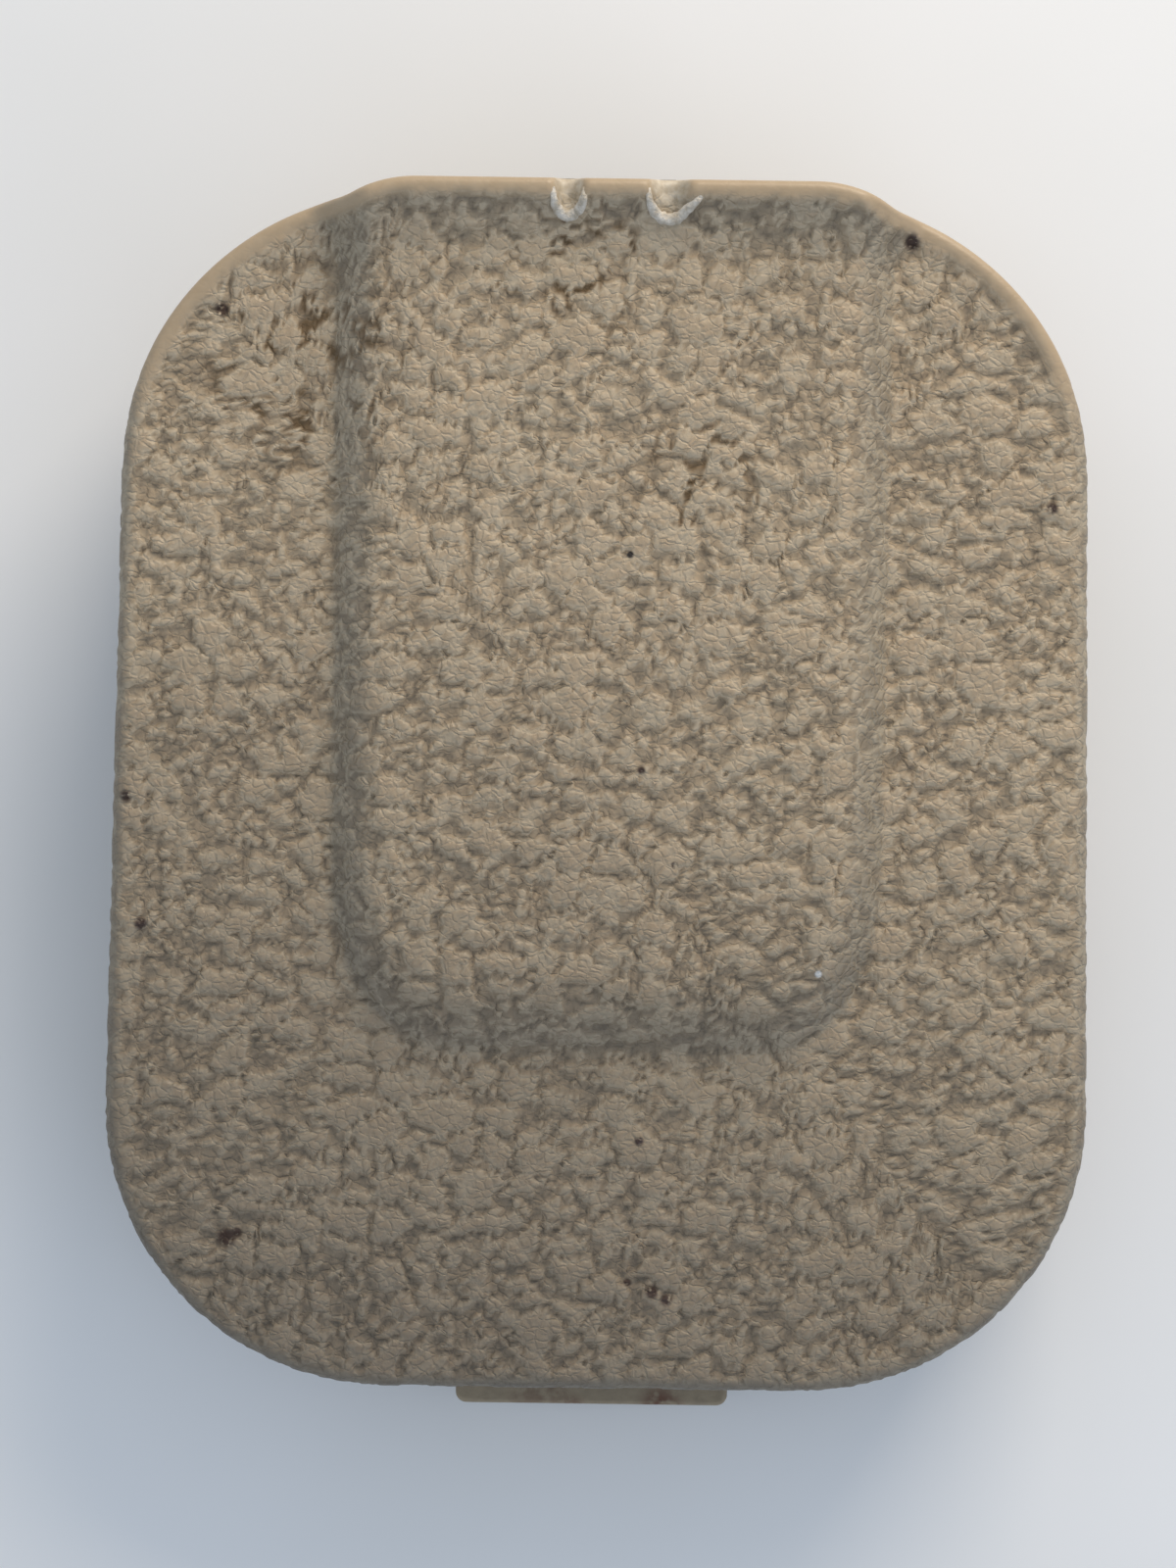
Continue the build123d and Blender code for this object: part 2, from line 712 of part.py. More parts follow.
def end_contact(side):
    """Brass screw through the block's heel end, with a contact disc inside and a hexagon outside."""
    x = side * bore_x
    inside_y = block_heel_y + block_end + face_gap
    outside_y = block_heel_y - face_gap
    screw = rod_y(contact_stem_d, x, (outside_y - sink, inside_y + sink), bore_z)
    screw += rod_y(bore_d - 4 * bore_gap, x, (inside_y, inside_y + contact_head_t), bore_z)
    hexagon = Plane.XZ * Pos(x, bore_z) * RegularPolygon(contact_nut_af / 2, 6, major_radius=False)
    return screw + Pos(0, outside_y, 0) * extrude(hexagon, amount=contact_nut_t)


def plunger(side):
    """Graphite plunger that presses on the stack."""
    start = stack_toe_y + bridge_travel + assembly_gap
    return rod_y(bore_d - 2 * plunger_gap, side * bore_x, (start, block_toe_y + plunger_out), bore_z)


def contact_bridge():
    """Brass bar that joins the two plungers; the bell crank pushes on its middle."""
    low_y = block_toe_y + plunger_out
    x = around(0, 2 * (bore_x + bridge_overhang))
    bar = box(x, (low_y, low_y + bridge_t), around(bore_z, bridge_height))
    return fillet(bar.edges().filter_by(Axis.Y), block_round)


def bypass_contact():
    """Brass leaf on the block's toe face that the bridge nears at full speed."""
    x = around(0, leaf_width)
    low_z = block_top_z + face_gap
    face_y = block_toe_y + face_gap
    leaf = box(x, (block_toe_y - leaf_foot, face_y + leaf_t), (low_z, low_z + leaf_t))
    leaf += box(x, (face_y, face_y + leaf_t), (low_z + leaf_t - leaf_drop, low_z + leaf_t))
    hole_x, hole_y = block_screw_places()[1]
    return leaf - rod_z(floor_screw_d + 2 * free_hole_gap, hole_x, hole_y, (low_z - past, low_z + past))


def insulating_sheet():
    plan = Pos(0, (block_heel_y + block_toe_y) / 2) * RectangleRounded(block_width, block_length, block_round)
    sheet = slab(plan, floor_z + face_gap, block_low_z - face_gap)
    for x, y in block_screw_places():
        sheet -= rod_z(floor_screw_d + 2 * free_hole_gap, x, y, (0, block_low_z + past))
    return sheet


def floor_screw(x, y, seat_z, shank_d=floor_screw_d):
    return pan_screw(x, y, seat_z, shank_d, seat_z - floor_z + floor_screw_bite - assembly_gap)


def block_screws():
    """Two long screws; the toe one also holds the bypass leaf."""
    heel, toe = block_screw_places()
    seat = block_top_z + face_gap
    return Compound(children=[floor_screw(*heel, seat), floor_screw(*toe, seat + leaf_t + face_gap)])


def lever_bracket():
    """Folded steel bracket whose two ears carry the bell crank's pin."""
    low_z = floor_z + face_gap
    plan = Pos(0, crank_y) * RectangleRounded(bracket_width, bracket_length, block_round)
    bracket = slab(plan, low_z, low_z + bracket_t)
    ear_x = crank_width / 2 + hinge_side_gap
    for side in (-1, 1):
        x = sorted((side * ear_x, side * (ear_x + bracket_t)))
        bracket += box(x, around(crank_y, 2 * bracket_ear_r), (low_z, crank_z))
        bracket += rod_x(2 * bracket_ear_r, x, crank_y, crank_z)
    bracket -= rod_x(crank_pin_d + 2 * running_gap, around(0, bracket_width), crank_y, crank_z)
    for x, y in bracket_screw_places():
        bracket -= rod_z(floor_screw_d + 2 * free_hole_gap, x, y, (0, low_z + bracket_t + past))
    return bracket


def bracket_screws():
    seat = floor_z + bracket_t + 2 * face_gap
    return Compound(children=[floor_screw(x, y, seat) for x, y in bracket_screw_places()])


def crank_pin():
    """Steel pin with a head at its right end."""
    outer = crank_width / 2 + hinge_side_gap + bracket_t + face_gap
    pin = rod_x(crank_pin_d, (-outer - crank_head_t, outer + sink), crank_y, crank_z)
    return pin + rod_x(crank_pin_d + 2 * crank_head_t, (outer, outer + crank_head_t), crank_y, crank_z)


def bell_crank():
    """Two-armed lever: the cover's screw presses its long arm, its nose pushes the bridge."""
    body = rod_x(crank_barrel_d, around(0, crank_width), crank_y, crank_z)
    end_y = actuator_y + crank_arm_over
    arm = box(around(0, crank_arm_width), (crank_y, end_y), around(crank_z, crank_arm_t))
    arm = fillet(arm.edges().filter_by(Axis.Z).sort_by(Axis.Y)[-2:], crank_arm_over)
    body += arm.rotate(Axis((0, crank_y, crank_z), (1, 0, 0)), crank_rest_tilt)
    leg = make_hull([
        *(Pos(crank_y, crank_z) * Circle(crank_barrel_d / 2 - crank_web)).edges(),
        *(Pos(nose_y, crank_z - crank_leg) * Circle(crank_nose_r)).edges()])
    body += Pos(-crank_arm_width / 2, 0, 0) * extrude(Plane.YZ * leg, amount=crank_arm_width)
    return body - rod_x(crank_pin_d + 2 * running_gap, around(0, 2 * crank_width), crank_y, crank_z)


def return_spring(side):
    """Compression spring between the base's cup and the cover."""
    low = floor_z + spring_wire_d / 2 + face_gap
    rise = (spring_y - hinge_y) * math.tan(math.radians(press_angle))
    high = plate_under_z + rise - spring_wire_d / 2 - spring_top_gap
    coil = Helix((high - low) / spring_turns, high - low, spring_mean_d / 2)
    wire = sweep(Plane(origin=coil @ 0, z_dir=coil % 0) * Circle(spring_wire_d / 2), path=coil)
    return Pos(side * side_x, spring_y, low) * wire


def stop_bumper(side):
    """Rubber stop with a stem in the pillar; it ends just under the pressed cover."""
    x = side * side_x
    seat = floor_z + pillar_height + face_gap
    stop = rod_z(bumper_d, x, bumper_y, (seat, plate_under_z - bumper_gap))
    stop = fillet(stop.edges().sort_by(Axis.Z)[-1], bumper_round)
    stem_z = (floor_z + bumper_hole_floor + bumper_stem_gap, seat + sink)
    return stop + rod_z(bumper_stem_d, x, bumper_y, stem_z)


def cord_gland():
    """Flanged bush that lines the hole where the cord enters the toe wall."""
    face_y = base_toe_y + face_gap
    end_y = face_y - gland_length
    gland = rod_y(gland_body_d, 0, (end_y, face_y + sink), gland_z)
    gland += rod_y(gland_flange_d, 0, (face_y, face_y + gland_flange_t), gland_z)
    return gland - rod_y(gland_bore_d, 0, (end_y - past, face_y + gland_flange_t + past), gland_z)


def cord_clamp():
    """Bar that would grip the cord's sheath just inside the gland."""
    y = around(clamp_mid_y, clamp_length)
    bar = box(around(0, clamp_width), y, (floor_z + face_gap, clamp_top_z))
    bar = fillet(bar.faces().sort_by(Axis.Z)[-1].edges().filter_by(Axis.Y), clamp_roof)
    bar -= rod_y(gland_bore_d + 2 * clamp_cord_gap, 0, (y[0] - past, y[1] + past), gland_z)
    for x, screw_y in clamp_screw_places():
        bar -= rod_z(floor_screw_d + 2 * free_hole_gap, x, screw_y, (0, clamp_top_z + past))
        bar -= rod_z(2 * floor_screw_d, x, screw_y, (clamp_top_z - clamp_head_depth, clamp_top_z + past))
    return bar


def clamp_screws():
    seat = clamp_top_z - clamp_head_depth + face_gap
    return Compound(children=[floor_screw(x, y, seat) for x, y in clamp_screw_places()])


def terminal_strip():
    """Phenolic strip with a raised seat for each terminal screw."""
    low_z = floor_z + face_gap
    body = box(around(strip_x, strip_width), around(strip_y, strip_length), (low_z, low_z + strip_height / 2))
    for y in terminal_ys():
        seat_y = around(y, strip_seat)
        seat_x = around(strip_x, strip_width - 2 * strip_seat_inset)
        body += box(seat_x, seat_y, (low_z, low_z + strip_height))
        hole_z = (low_z + strip_hole_floor, low_z + 2 * strip_height)
        body -= rod_z(strip_screw_d + 2 * snug_gap, strip_x, y, hole_z)
    for x, y in strip_screw_places():
        body -= rod_z(strip_screw_d + 2 * free_hole_gap, x, y, (0, low_z + strip_height))
    return body


def terminal_screws():
    """Three terminal screws, and the two that hold the strip down."""
    seat = floor_z + strip_height + 2 * face_gap
    length = strip_height - strip_hole_floor - strip_screw_gap
    screws = [pan_screw(strip_x, y, seat, strip_screw_d, length) for y in terminal_ys()]
    low_seat = floor_z + strip_height / 2 + 2 * face_gap
    screws += [floor_screw(x, y, low_seat, strip_screw_d) for x, y in strip_screw_places()]
    return Compound(children=screws)


def lead(points, bend):
    """An insulated wire along straight runs joined by arcs."""
    path = FilletPolyline(*points, radius=bend)
    return sweep(Plane(origin=path @ 0, z_dir=path % 0) * Circle(wire_d / 2), path=path)


def pile_lead(side):
    """Wire from the strip round the block's heel end up to an end contact."""
    lane = 1 if side > 0 else 2
    start = (strip_x - strip_width / 2 - assembly_gap, terminal_ys()[2 - lane])
    lane_x = block_width / 2 + wire_d + (lane - 1) * wire_lane
    lane_y = block_heel_y - wire_bend - wire_lane * lane
    low_z = floor_z + wire_lift + wire_d / 2
    contact_y = block_heel_y - contact_nut_t - wire_d / 2
    return lead([
        (*start, low_z),
        (lane_x, start[1], low_z),
        (lane_x, lane_y, low_z),
        (side * bore_x, lane_y, low_z),
        (side * bore_x, contact_y, bore_z)], [wire_bend, wire_bend, 2 * wire_d])


def bypass_lead():
    """Wire from the strip's third terminal up and over the block to the bypass leaf."""
    y = terminal_ys()[2]
    low_z = floor_z + wire_lift + wire_d / 2
    top_z = block_top_z + wire_d / 2 + face_gap
    rise_x = block_width / 2 + 2 * wire_d
    return lead([
        (strip_x - strip_width / 2 - assembly_gap, y, low_z),
        (rise_x, y, low_z),
        (rise_x - wire_d, y, top_z),
        (leaf_width / 2 + assembly_gap, y, top_z)], 2 * wire_d)


# ---------------------------------------------------------------- write every piece
def all_pieces():
    pieces = {
        "top_cover": top_cover(),
        "stiffener_plate": stiffener_plate(),
        "stiffener_screws": stiffener_screws(),
        "actuator_screw": actuator_screw(),
        "lock_nut": lock_nut(),
        "base_shell": base_shell(),
        "hinge_pin": hinge_pin(),
        "rheostat_block": rheostat_block(),
        "insulating_sheet": insulating_sheet(),
        "block_screws": block_screws(),
        "contact_bridge": contact_bridge(),
        "bypass_contact": bypass_contact(),
        "bypass_lead": bypass_lead(),
        "lever_bracket": lever_bracket(),
        "bracket_screws": bracket_screws(),
        "crank_pin": crank_pin(),
        "bell_crank": bell_crank(),
        "cord_gland": cord_gland(),
        "cord_clamp": cord_clamp(),
        "clamp_screws": clamp_screws(),
        "terminal_strip": terminal_strip(),
        "terminal_screws": terminal_screws(),
    }
    for name, (x, y) in foot_places().items():
        pieces[f"foot_{name}"] = foot(x, y)
    for name, side in (("left", -1), ("right", 1)):
        pieces[f"pin_clip_{name}"] = pin_clip(side)
        pieces[f"carbon_pile_{name}"] = carbon_pile(side)
        pieces[f"end_contact_{name}"] = end_contact(side)
        pieces[f"plunger_{name}"] = plunger(side)
        pieces[f"return_spring_{name}"] = return_spring(side)
        pieces[f"stop_bumper_{name}"] = stop_bumper(side)
        pieces[f"pile_lead_{name}"] = pile_lead(side)
    return pieces


os.makedirs("parts", exist_ok=True)
pieces = all_pieces()
for name, piece in pieces.items():
    export_step(piece, f"parts/{name}.step")
print(len(pieces), "nodes")
print("hinge axis y", round(hinge_y, 4), "z", hinge_height)
print("crank axis y", round(crank_y, 4), "z", crank_z, "swing in degrees", round(crank_swing, 4))
print("bridge travel", round(bridge_travel, 4))
print("gland face y", round(base_toe_y + face_gap + gland_flange_t, 4), "z", gland_z)
print("cover heel y", round(cover_heel_y, 4), "toe y", round(cover_toe_y, 4), "plate top z", plate_top_z)
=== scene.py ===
# %% [markdown]
# # A sewing machine's foot control
# A foot control like this is a small clamshell: a grained plastic cover, hinged at its heel on a flat
# tray, with a resistor of carbon discs inside. The working model of it is fixed, and this lesson
# dresses it: it gives each piece its finish, and remakes the cover with its leather grain, its wear
# and its torn toe edge. First we load the model.

# %% Load the fixed model
import json
import math
import bpy
import numpy as np
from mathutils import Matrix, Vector, noise


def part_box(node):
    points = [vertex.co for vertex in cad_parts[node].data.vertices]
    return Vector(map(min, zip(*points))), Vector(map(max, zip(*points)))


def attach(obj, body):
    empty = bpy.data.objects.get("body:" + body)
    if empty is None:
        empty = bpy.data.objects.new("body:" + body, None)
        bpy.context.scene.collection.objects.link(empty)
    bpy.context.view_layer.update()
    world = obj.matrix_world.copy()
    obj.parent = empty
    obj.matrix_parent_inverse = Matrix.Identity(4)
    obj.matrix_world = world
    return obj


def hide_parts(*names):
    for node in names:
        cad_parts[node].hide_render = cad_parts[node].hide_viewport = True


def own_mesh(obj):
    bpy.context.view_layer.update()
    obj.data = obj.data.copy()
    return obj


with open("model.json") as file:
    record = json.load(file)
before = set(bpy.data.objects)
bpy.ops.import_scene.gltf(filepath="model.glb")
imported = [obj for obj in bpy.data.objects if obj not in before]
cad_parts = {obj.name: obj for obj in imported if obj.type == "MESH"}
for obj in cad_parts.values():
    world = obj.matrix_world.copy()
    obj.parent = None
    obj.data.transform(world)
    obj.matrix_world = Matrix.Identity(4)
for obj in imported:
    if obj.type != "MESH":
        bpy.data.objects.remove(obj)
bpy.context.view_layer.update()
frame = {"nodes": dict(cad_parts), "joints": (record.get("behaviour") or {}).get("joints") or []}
MM = 0.001

# %% [markdown]
# ## Camera
# The control lies on a pale table and is seen from straight above, through a long lens, which keeps
# its sides nearly upright in the picture. The camera's lens is worked out from its height and the
# picture's scale at the middle of the cover: a long lens far away gives the same size as a short one
# near by, with less spreading of what is near.

# %% Camera
picture_high = 1600       # the picture's long side, in picture points
camera_height = 0.450
points_per_mm = 9.71      # at the height of the middle of the cover
middle_height = 0.0282
sensor = 36.0
camera_x, camera_y = -0.0013, 0.0021
camera_roll = math.radians(0.8)

camera_data = bpy.data.cameras.new("camera")
camera_data.sensor_width = sensor
focal_points = points_per_mm * (camera_height - middle_height) / MM
camera_data.lens = focal_points * sensor / picture_high
camera = bpy.data.objects.new("camera", camera_data)
camera.location = (camera_x, camera_y, camera_height)
camera.rotation_euler = (0, 0, camera_roll)
bpy.context.scene.collection.objects.link(camera)
bpy.context.scene.camera = camera
bpy.context.scene.view_settings.view_transform = "Standard"
print("lens in mm:", round(camera_data.lens, 1))

# %% [markdown]
# ## Colours and shader nodes
# A colour picked from a screen is an sRGB value, but shaders add light up in linear values, so one
# function turns each hex colour to linear. Every material is a small graph of nodes, and one more
# function adds a node, sets it and links it. Three steps that every finish needs are built on it: a
# speckle that says where something is, a coat of colour laid there, and a change of roughness there.
# In MapRange, inputs 0 to 4 are the value, the two levels it comes from and the two it goes to.

# %% Helpers for materials
def linear(hex_colour):
    """An sRGB hex colour such as "9a8a70" as a linear RGBA value."""
    channels = [int(hex_colour[i:i + 2], 16) / 255 for i in (0, 2, 4)]
    low_part, knee, power = 12.92, 0.04045, 2.4
    curve = [c / low_part if c <= knee else ((c + 0.055) / 1.055) ** power for c in channels]
    return (*curve, 1.0)


def add(tree, kind, inputs=None, output=0, **settings):
    """Adds a shader node and returns one of its outputs. inputs are values, or sockets to link, by
    name or number, and settings are the node's properties."""
    made = tree.nodes.new("ShaderNode" + kind)
    for name, value in settings.items():
        setattr(made, name, value)
    for name, value in (inputs or {}).items():
        if isinstance(value, bpy.types.NodeSocket):
            tree.links.new(value, made.inputs[name])
        else:
            made.inputs[name].default_value = value
    return made.outputs[output]


def new_material(name, roughness, metallic=0.0, ior=None):
    """A material with a Principled shader: returns it, its tree, its shader and the place on the model."""
    material = bpy.data.materials.new(name)
    material.use_nodes = True
    tree = material.node_tree
    shader = tree.nodes["Principled BSDF"]
    shader.inputs["Roughness"].default_value = roughness
    shader.inputs["Metallic"].default_value = metallic
    if ior:
        shader.inputs["IOR"].default_value = ior
    place = add(tree, "TexCoord", output="Object")
    return material, tree, shader, place


def per_metre(size_mm):
    """The scale of a noise whose features are about size_mm across."""
    return 1 / (size_mm * MM)


def speckle(tree, place, size_mm, low, high, detail=2.0):
    """Noise as a share from 0 to 1, rising from nought at its level low to one at high."""
    raw = add(tree, "TexNoise", {"Vector": place, "Scale": per_metre(size_mm), "Detail": detail})
    return add(tree, "MapRange", {0: raw, 1: low, 2: high})


def coat(tree, under, over, share, strength=1.0):
    """Lays one colour over another, fully where share times strength is one."""
    amount = add(tree, "Math", {0: share, 1: strength}, operation="MULTIPLY")
    return add(tree, "Mix", {0: amount, 6: under, 7: over}, output=2, data_type="RGBA")


def vary_roughness(tree, shader, share, clean, worn):
    """Takes the roughness from clean, where share is nought, to worn, where it is one."""
    tree.links.new(add(tree, "MapRange", {0: share, 3: clean, 4: worn}), shader.inputs["Roughness"])


def raise_bumps(tree, shader, height, depth_mm, strength=1.0):
    """Feeds a height from 0 to 1 to the shader's normal as bumps depth_mm deep."""
    inputs = {"Height": height, "Distance": depth_mm * MM, "Strength": strength}
    tree.links.new(add(tree, "Bump", inputs), shader.inputs["Normal"])


print("material helpers ready")

# %% [markdown]
# ## Table and light
# The control lies on a white laminate table by a window. The window is high on the right, beyond the
# toe, so the pad's left and heel sides are in shade and a soft shadow falls to the left. The room's
# far side adds a weak bluish light from the heel. Area lamps as wide as a window give such shadows.

# %% Table
table_size = 3.0
bpy.ops.mesh.primitive_plane_add(size=table_size)
table = bpy.context.object
table.name = "table"
laminate, tree, shader, place = new_material("White laminate, satin", 0.45, ior=1.5)
cloud = speckle(tree, place, 60.0, 0.3, 0.7)
tint = coat(tree, linear("e9e9e6"), linear("eeeeec"), cloud)
tree.links.new(tint, shader.inputs["Base Color"])
table.data.materials.append(laminate)

# %% Lights
def lamp(name, place, width, power, hex_colour):
    """A square area lamp that points at the middle of the model."""
    data = bpy.data.lights.new(name, "AREA")
    data.size = width
    data.energy = power
    data.color = linear(hex_colour)[:3]
    made = bpy.data.objects.new(name, data)
    made.location = place
    made.rotation_euler = (-Vector(place)).to_track_quat("-Z", "Y").to_euler()
    bpy.context.scene.collection.objects.link(made)
    return made


window = lamp("window", (0.20, 0.46, 0.30), 0.32, 2.5, "fff0dc")
far_room = lamp("far_room", (0.55, -0.45, 0.60), 0.6, 0.8, "cfe0ff")
room = bpy.data.worlds.new("room")
room.use_nodes = True
room.node_tree.nodes["Background"].inputs["Color"].default_value = linear("dbe6f6")
room.node_tree.nodes["Background"].inputs["Strength"].default_value = 0.73
bpy.context.scene.world = room
print("lamps:", window.name, far_room.name)

# %% [markdown]
# ## Where the cover lies
# The cover is level when it is pressed down, and that is the easy way to draw it. At rest it is
# turned up about the hinge. So we turn the model's own cover back to level, and read its sizes off
# it; the finished mesh is turned up again by the same angle.

# %% The cover laid level
hinge = next(joint for joint in frame["joints"] if joint["name"] == "treadle_hinge")
hinge_y, hinge_z = hinge["pos_m"][1] / MM, hinge["pos_m"][2] / MM
rest_angle = math.radians(max(hinge["range_deg"]))


def turned(points, angle):
    """Points in mm, turned up about the hinge line."""
    y, z = points[:, 1] - hinge_y, points[:, 2] - hinge_z
    turned_y = hinge_y + y * math.cos(angle) - z * math.sin(angle)
    turned_z = hinge_z + y * math.sin(angle) + z * math.cos(angle)
    return np.column_stack((points[:, 0], turned_y, turned_z))


model_cover = np.array([v.co for v in frame["nodes"]["top_cover"].data.vertices]) / MM
level_cover = turned(model_cover, -rest_angle)
heel_y, nose_y = level_cover[:, 1].min(), level_cover[:, 1].max()
skirt_z, crest_z = level_cover[:, 2].min(), level_cover[:, 2].max()
print("level cover, y and z in mm:", [round(v, 2) for v in (heel_y, nose_y, skirt_z, crest_z)])

# %% Sizes of the cover, in mm
heel_width, toe_width = 105.4, 99.4   # at the end edges, as if the corners were sharp
corner_radius = 30.0
nose_out, nose_width, nose_corner = 1.3, 68.6, 14.0
nose_soft = 0.3                       # how widely the nose's kinks are rounded
pad_height, lip_height, rim_height = 3.6, 2.6, 0.4
pad_half, pad_shift = 24.8, 0.8       # half the width of the pad's top, and how far right it lies
pad_side_run, pad_heel_run, pad_corner = 4.2, 6.6, 7.8
pad_to_heel = 43.2                    # from the heel edge to the heel end of the pad's top
crest_width, lip_run, rim_run = 1.7, 6.0, 3.0
cover_plate, skirt_wall = 2.5, 2.4
side_round, crest_round = 2.2, 0.8    # how far the cover's edge rounds over
pad_top_z = crest_z - lip_height
plate_z = pad_top_z - pad_height
pad_heel_y = heel_y + pad_to_heel

# %% [markdown]
# ## The cover's shape as two formulas
# Seen from above the cover is a tapering plate with large round corners, and the toe stands out a
# little where the pad meets it. A signed distance says how far a point lies outside that outline. It
# gives everything near the edge: the rounded rim, the toe stop and the smooth band. A second
# formula gives the height: the plate, the sloping pad, and the stop that rises along the toe.

# %% Outline of the cover
def smooth_step(low, high, value):
    share = np.clip((value - low) / (high - low), 0, 1)
    return share * share * (3 - 2 * share)


def plate_outside(x, y):
    """How far points are outside the tapering plate with its round corners."""
    length = nose_y - nose_out - heel_y
    lean = (heel_width - toe_width) / 2 / length
    drawn_in = corner_radius * math.hypot(1, lean)
    half_heel = heel_width / 2 - corner_radius * lean - drawn_in
    half_toe = toe_width / 2 + corner_radius * lean - drawn_in
    low, high = heel_y + corner_radius, nose_y - nose_out - corner_radius
    corners = np.array([(-half_heel, low), (half_heel, low), (half_toe, high), (-half_toe, high)])
    to_line, to_side = [], []
    for start, end in zip(corners, np.roll(corners, -1, axis=0)):
        along = (end - start) / np.linalg.norm(end - start)
        dx, dy = x - start[0], y - start[1]
        reach = np.clip(dx * along[0] + dy * along[1], 0, np.linalg.norm(end - start))
        to_side.append(np.hypot(dx - reach * along[0], dy - reach * along[1]))
        to_line.append(dx * along[1] - dy * along[0])
    inside = np.max(to_line, axis=0)
    return np.where(inside <= 0, inside, np.min(to_side, axis=0)) - corner_radius


def rounded(across, along, radius):
    """Distance outside a corner region, given the distances outside its two edges."""
    a, b = across + radius, along + radius
    return np.hypot(np.maximum(a, 0), np.maximum(b, 0)) + np.minimum(np.maximum(a, b), 0) - radius


def outside(x, y):
    """How far points are outside the cover's outline: below nought inside it."""
    plate = plate_outside(x, y)
    half_length = corner_radius
    past_side = np.abs(x - pad_shift) - nose_width / 2
    past_end = np.abs(y - nose_y + half_length) - half_length
    nose = rounded(past_side, past_end, nose_corner)
    overlap = np.maximum(nose_soft - np.abs(plate - nose), 0) / nose_soft
    return np.minimum(plate, nose) - overlap ** 2 * nose_soft / 4


# %% Height of the cover
def pad_share(x, y, thinning=0.0):
    """One on the pad's top, falling to nought at its foot. Its top edge is rounded, and its foot a crease."""
    across = np.abs(x - pad_shift) - pad_half + thinning
    along = (pad_heel_y - y + thinning) * pad_side_run / pad_heel_run
    slope = rounded(across, along, pad_corner) / pad_side_run
    rounding = 0.4
    return np.cos(math.pi / 2 * np.clip((slope + rounding) / (1 + rounding), 0, 1))


def edge_rise(x, y):
    """How far the toe stop and its continuation round the corners rise above the plate at the edge."""
    from_middle = np.abs(x - pad_shift)
    stop = 1 - smooth_step(pad_half, pad_half + 7, from_middle)
    fading = smooth_step(nose_y - 34, nose_y - 10, y)
    return fading * (rim_height + stop * (pad_height + lip_height - rim_height))


def top_height(x, y):
    """Height of the cover's top in mm, apart from its rounded edge."""
    inset = -outside(x, y)
    rise = edge_rise(x, y)
    in_stop = np.clip((rise - rim_height) / (pad_height + lip_height - rim_height), 0, 1)
    run = rim_run + (lip_run - rim_run) * in_stop
    share = (1 - np.clip((inset - crest_width) / run, 0, 1)) ** 1.6
    pad = pad_height * pad_share(x, y)
    return plate_z + pad + np.maximum(rise - pad, 0) * share


print("cover height at the pad's middle:", round(float(top_height(np.array([0.0]), np.array([0.0]))[0]), 2))

# %% [markdown]
# ## A mesh whose rows follow the outline
# A square grid is the tidiest mesh, but its rim would cut the round outline into steps. Here each
# square ring of a grid is stretched so that the outermost one lies on the outline: the spacing stays
# even all over, and the rim can carry on down the skirt row by row. Ring `n` has `8 n` points.

# %% Rings of points
trace_steps, trace_rounds = 8001, 80


def trace_outline(count):
    """count points on each side of the outline, anticlockwise from the heel's right corner."""
    middle = np.array([0.0, (heel_y + nose_y) / 2])
    corner_depth = corner_radius / 3
    corner_angle = math.atan2(nose_y - middle[1] - corner_depth, heel_width / 2 - corner_depth)
    angles = np.linspace(-corner_angle, 2 * math.pi - corner_angle, trace_steps)
    start_reach = 20.0                       # any place well inside the outline would do
    reach = np.full(angles.shape, start_reach)
    for _ in range(trace_rounds):
        reach = reach - outside(reach * np.cos(angles), middle[1] + reach * np.sin(angles))
    dense = np.column_stack((reach * np.cos(angles), middle[1] + reach * np.sin(angles)))
    run = np.concatenate(([0], np.cumsum(np.linalg.norm(np.diff(dense, axis=0), axis=1))))
    corner_turns = np.array([0, 2 * corner_angle, math.pi, math.pi + 2 * corner_angle, 2 * math.pi])
    marks = np.interp(corner_turns - corner_angle, angles, run)
    places = np.concatenate([np.linspace(a, b, count, endpoint=False) for a, b in zip(marks, marks[1:])])
    return np.column_stack([np.interp(places, run, dense[:, i]) for i in (0, 1)])


def inward(points):
    """Unit directions into the cover at points of its outline."""
    step = 0.01
    x, y = points.T
    fall_x = outside(x - step, y) - outside(x + step, y)
    fall_y = outside(x, y - step) - outside(x, y + step)
    return np.column_stack((fall_x, fall_y)) / np.hypot(fall_x, fall_y)[:, None]


def ring_grid(rim):
    """Points and quads of a square grid whose outer ring is rim, and the indices of that ring."""
    rings = len(rim) // 8
    i, j = np.meshgrid(np.arange(-rings, rings + 1), np.arange(-rings, rings + 1), indexing="ij")
    i, j = i.ravel(), j.ravel()
    ring = np.maximum(np.abs(i), np.abs(j))
    sides = [i == ring, j == ring, i == -ring]
    along = np.select(sides, [j + ring, 3 * ring - i, 5 * ring - j], 7 * ring + i)
    share = np.where(ring > 0, along / np.maximum(8 * ring, 1), 0) * len(rim)
    closed = np.vstack((rim, rim[:1]))
    on_rim = np.column_stack([np.interp(share, np.arange(len(closed)), closed[:, k]) for k in (0, 1)])
    middle = rim.mean(axis=0)
    points = middle + (on_rim - middle) * (ring / rings)[:, None]
    side = 2 * rings + 1
    low = (np.arange(side - 1)[:, None] * side + np.arange(side - 1)).ravel()
    quads = np.column_stack((low, low + side, low + side + 1, low + 1))
    outer = np.flatnonzero(ring == rings)
    outer = outer[np.argsort(along[outer] % (8 * rings))]
    return points, quads, outer


rings = 120
outline = trace_outline(2 * rings)
into = inward(outline)
print("outline points:", len(outline))

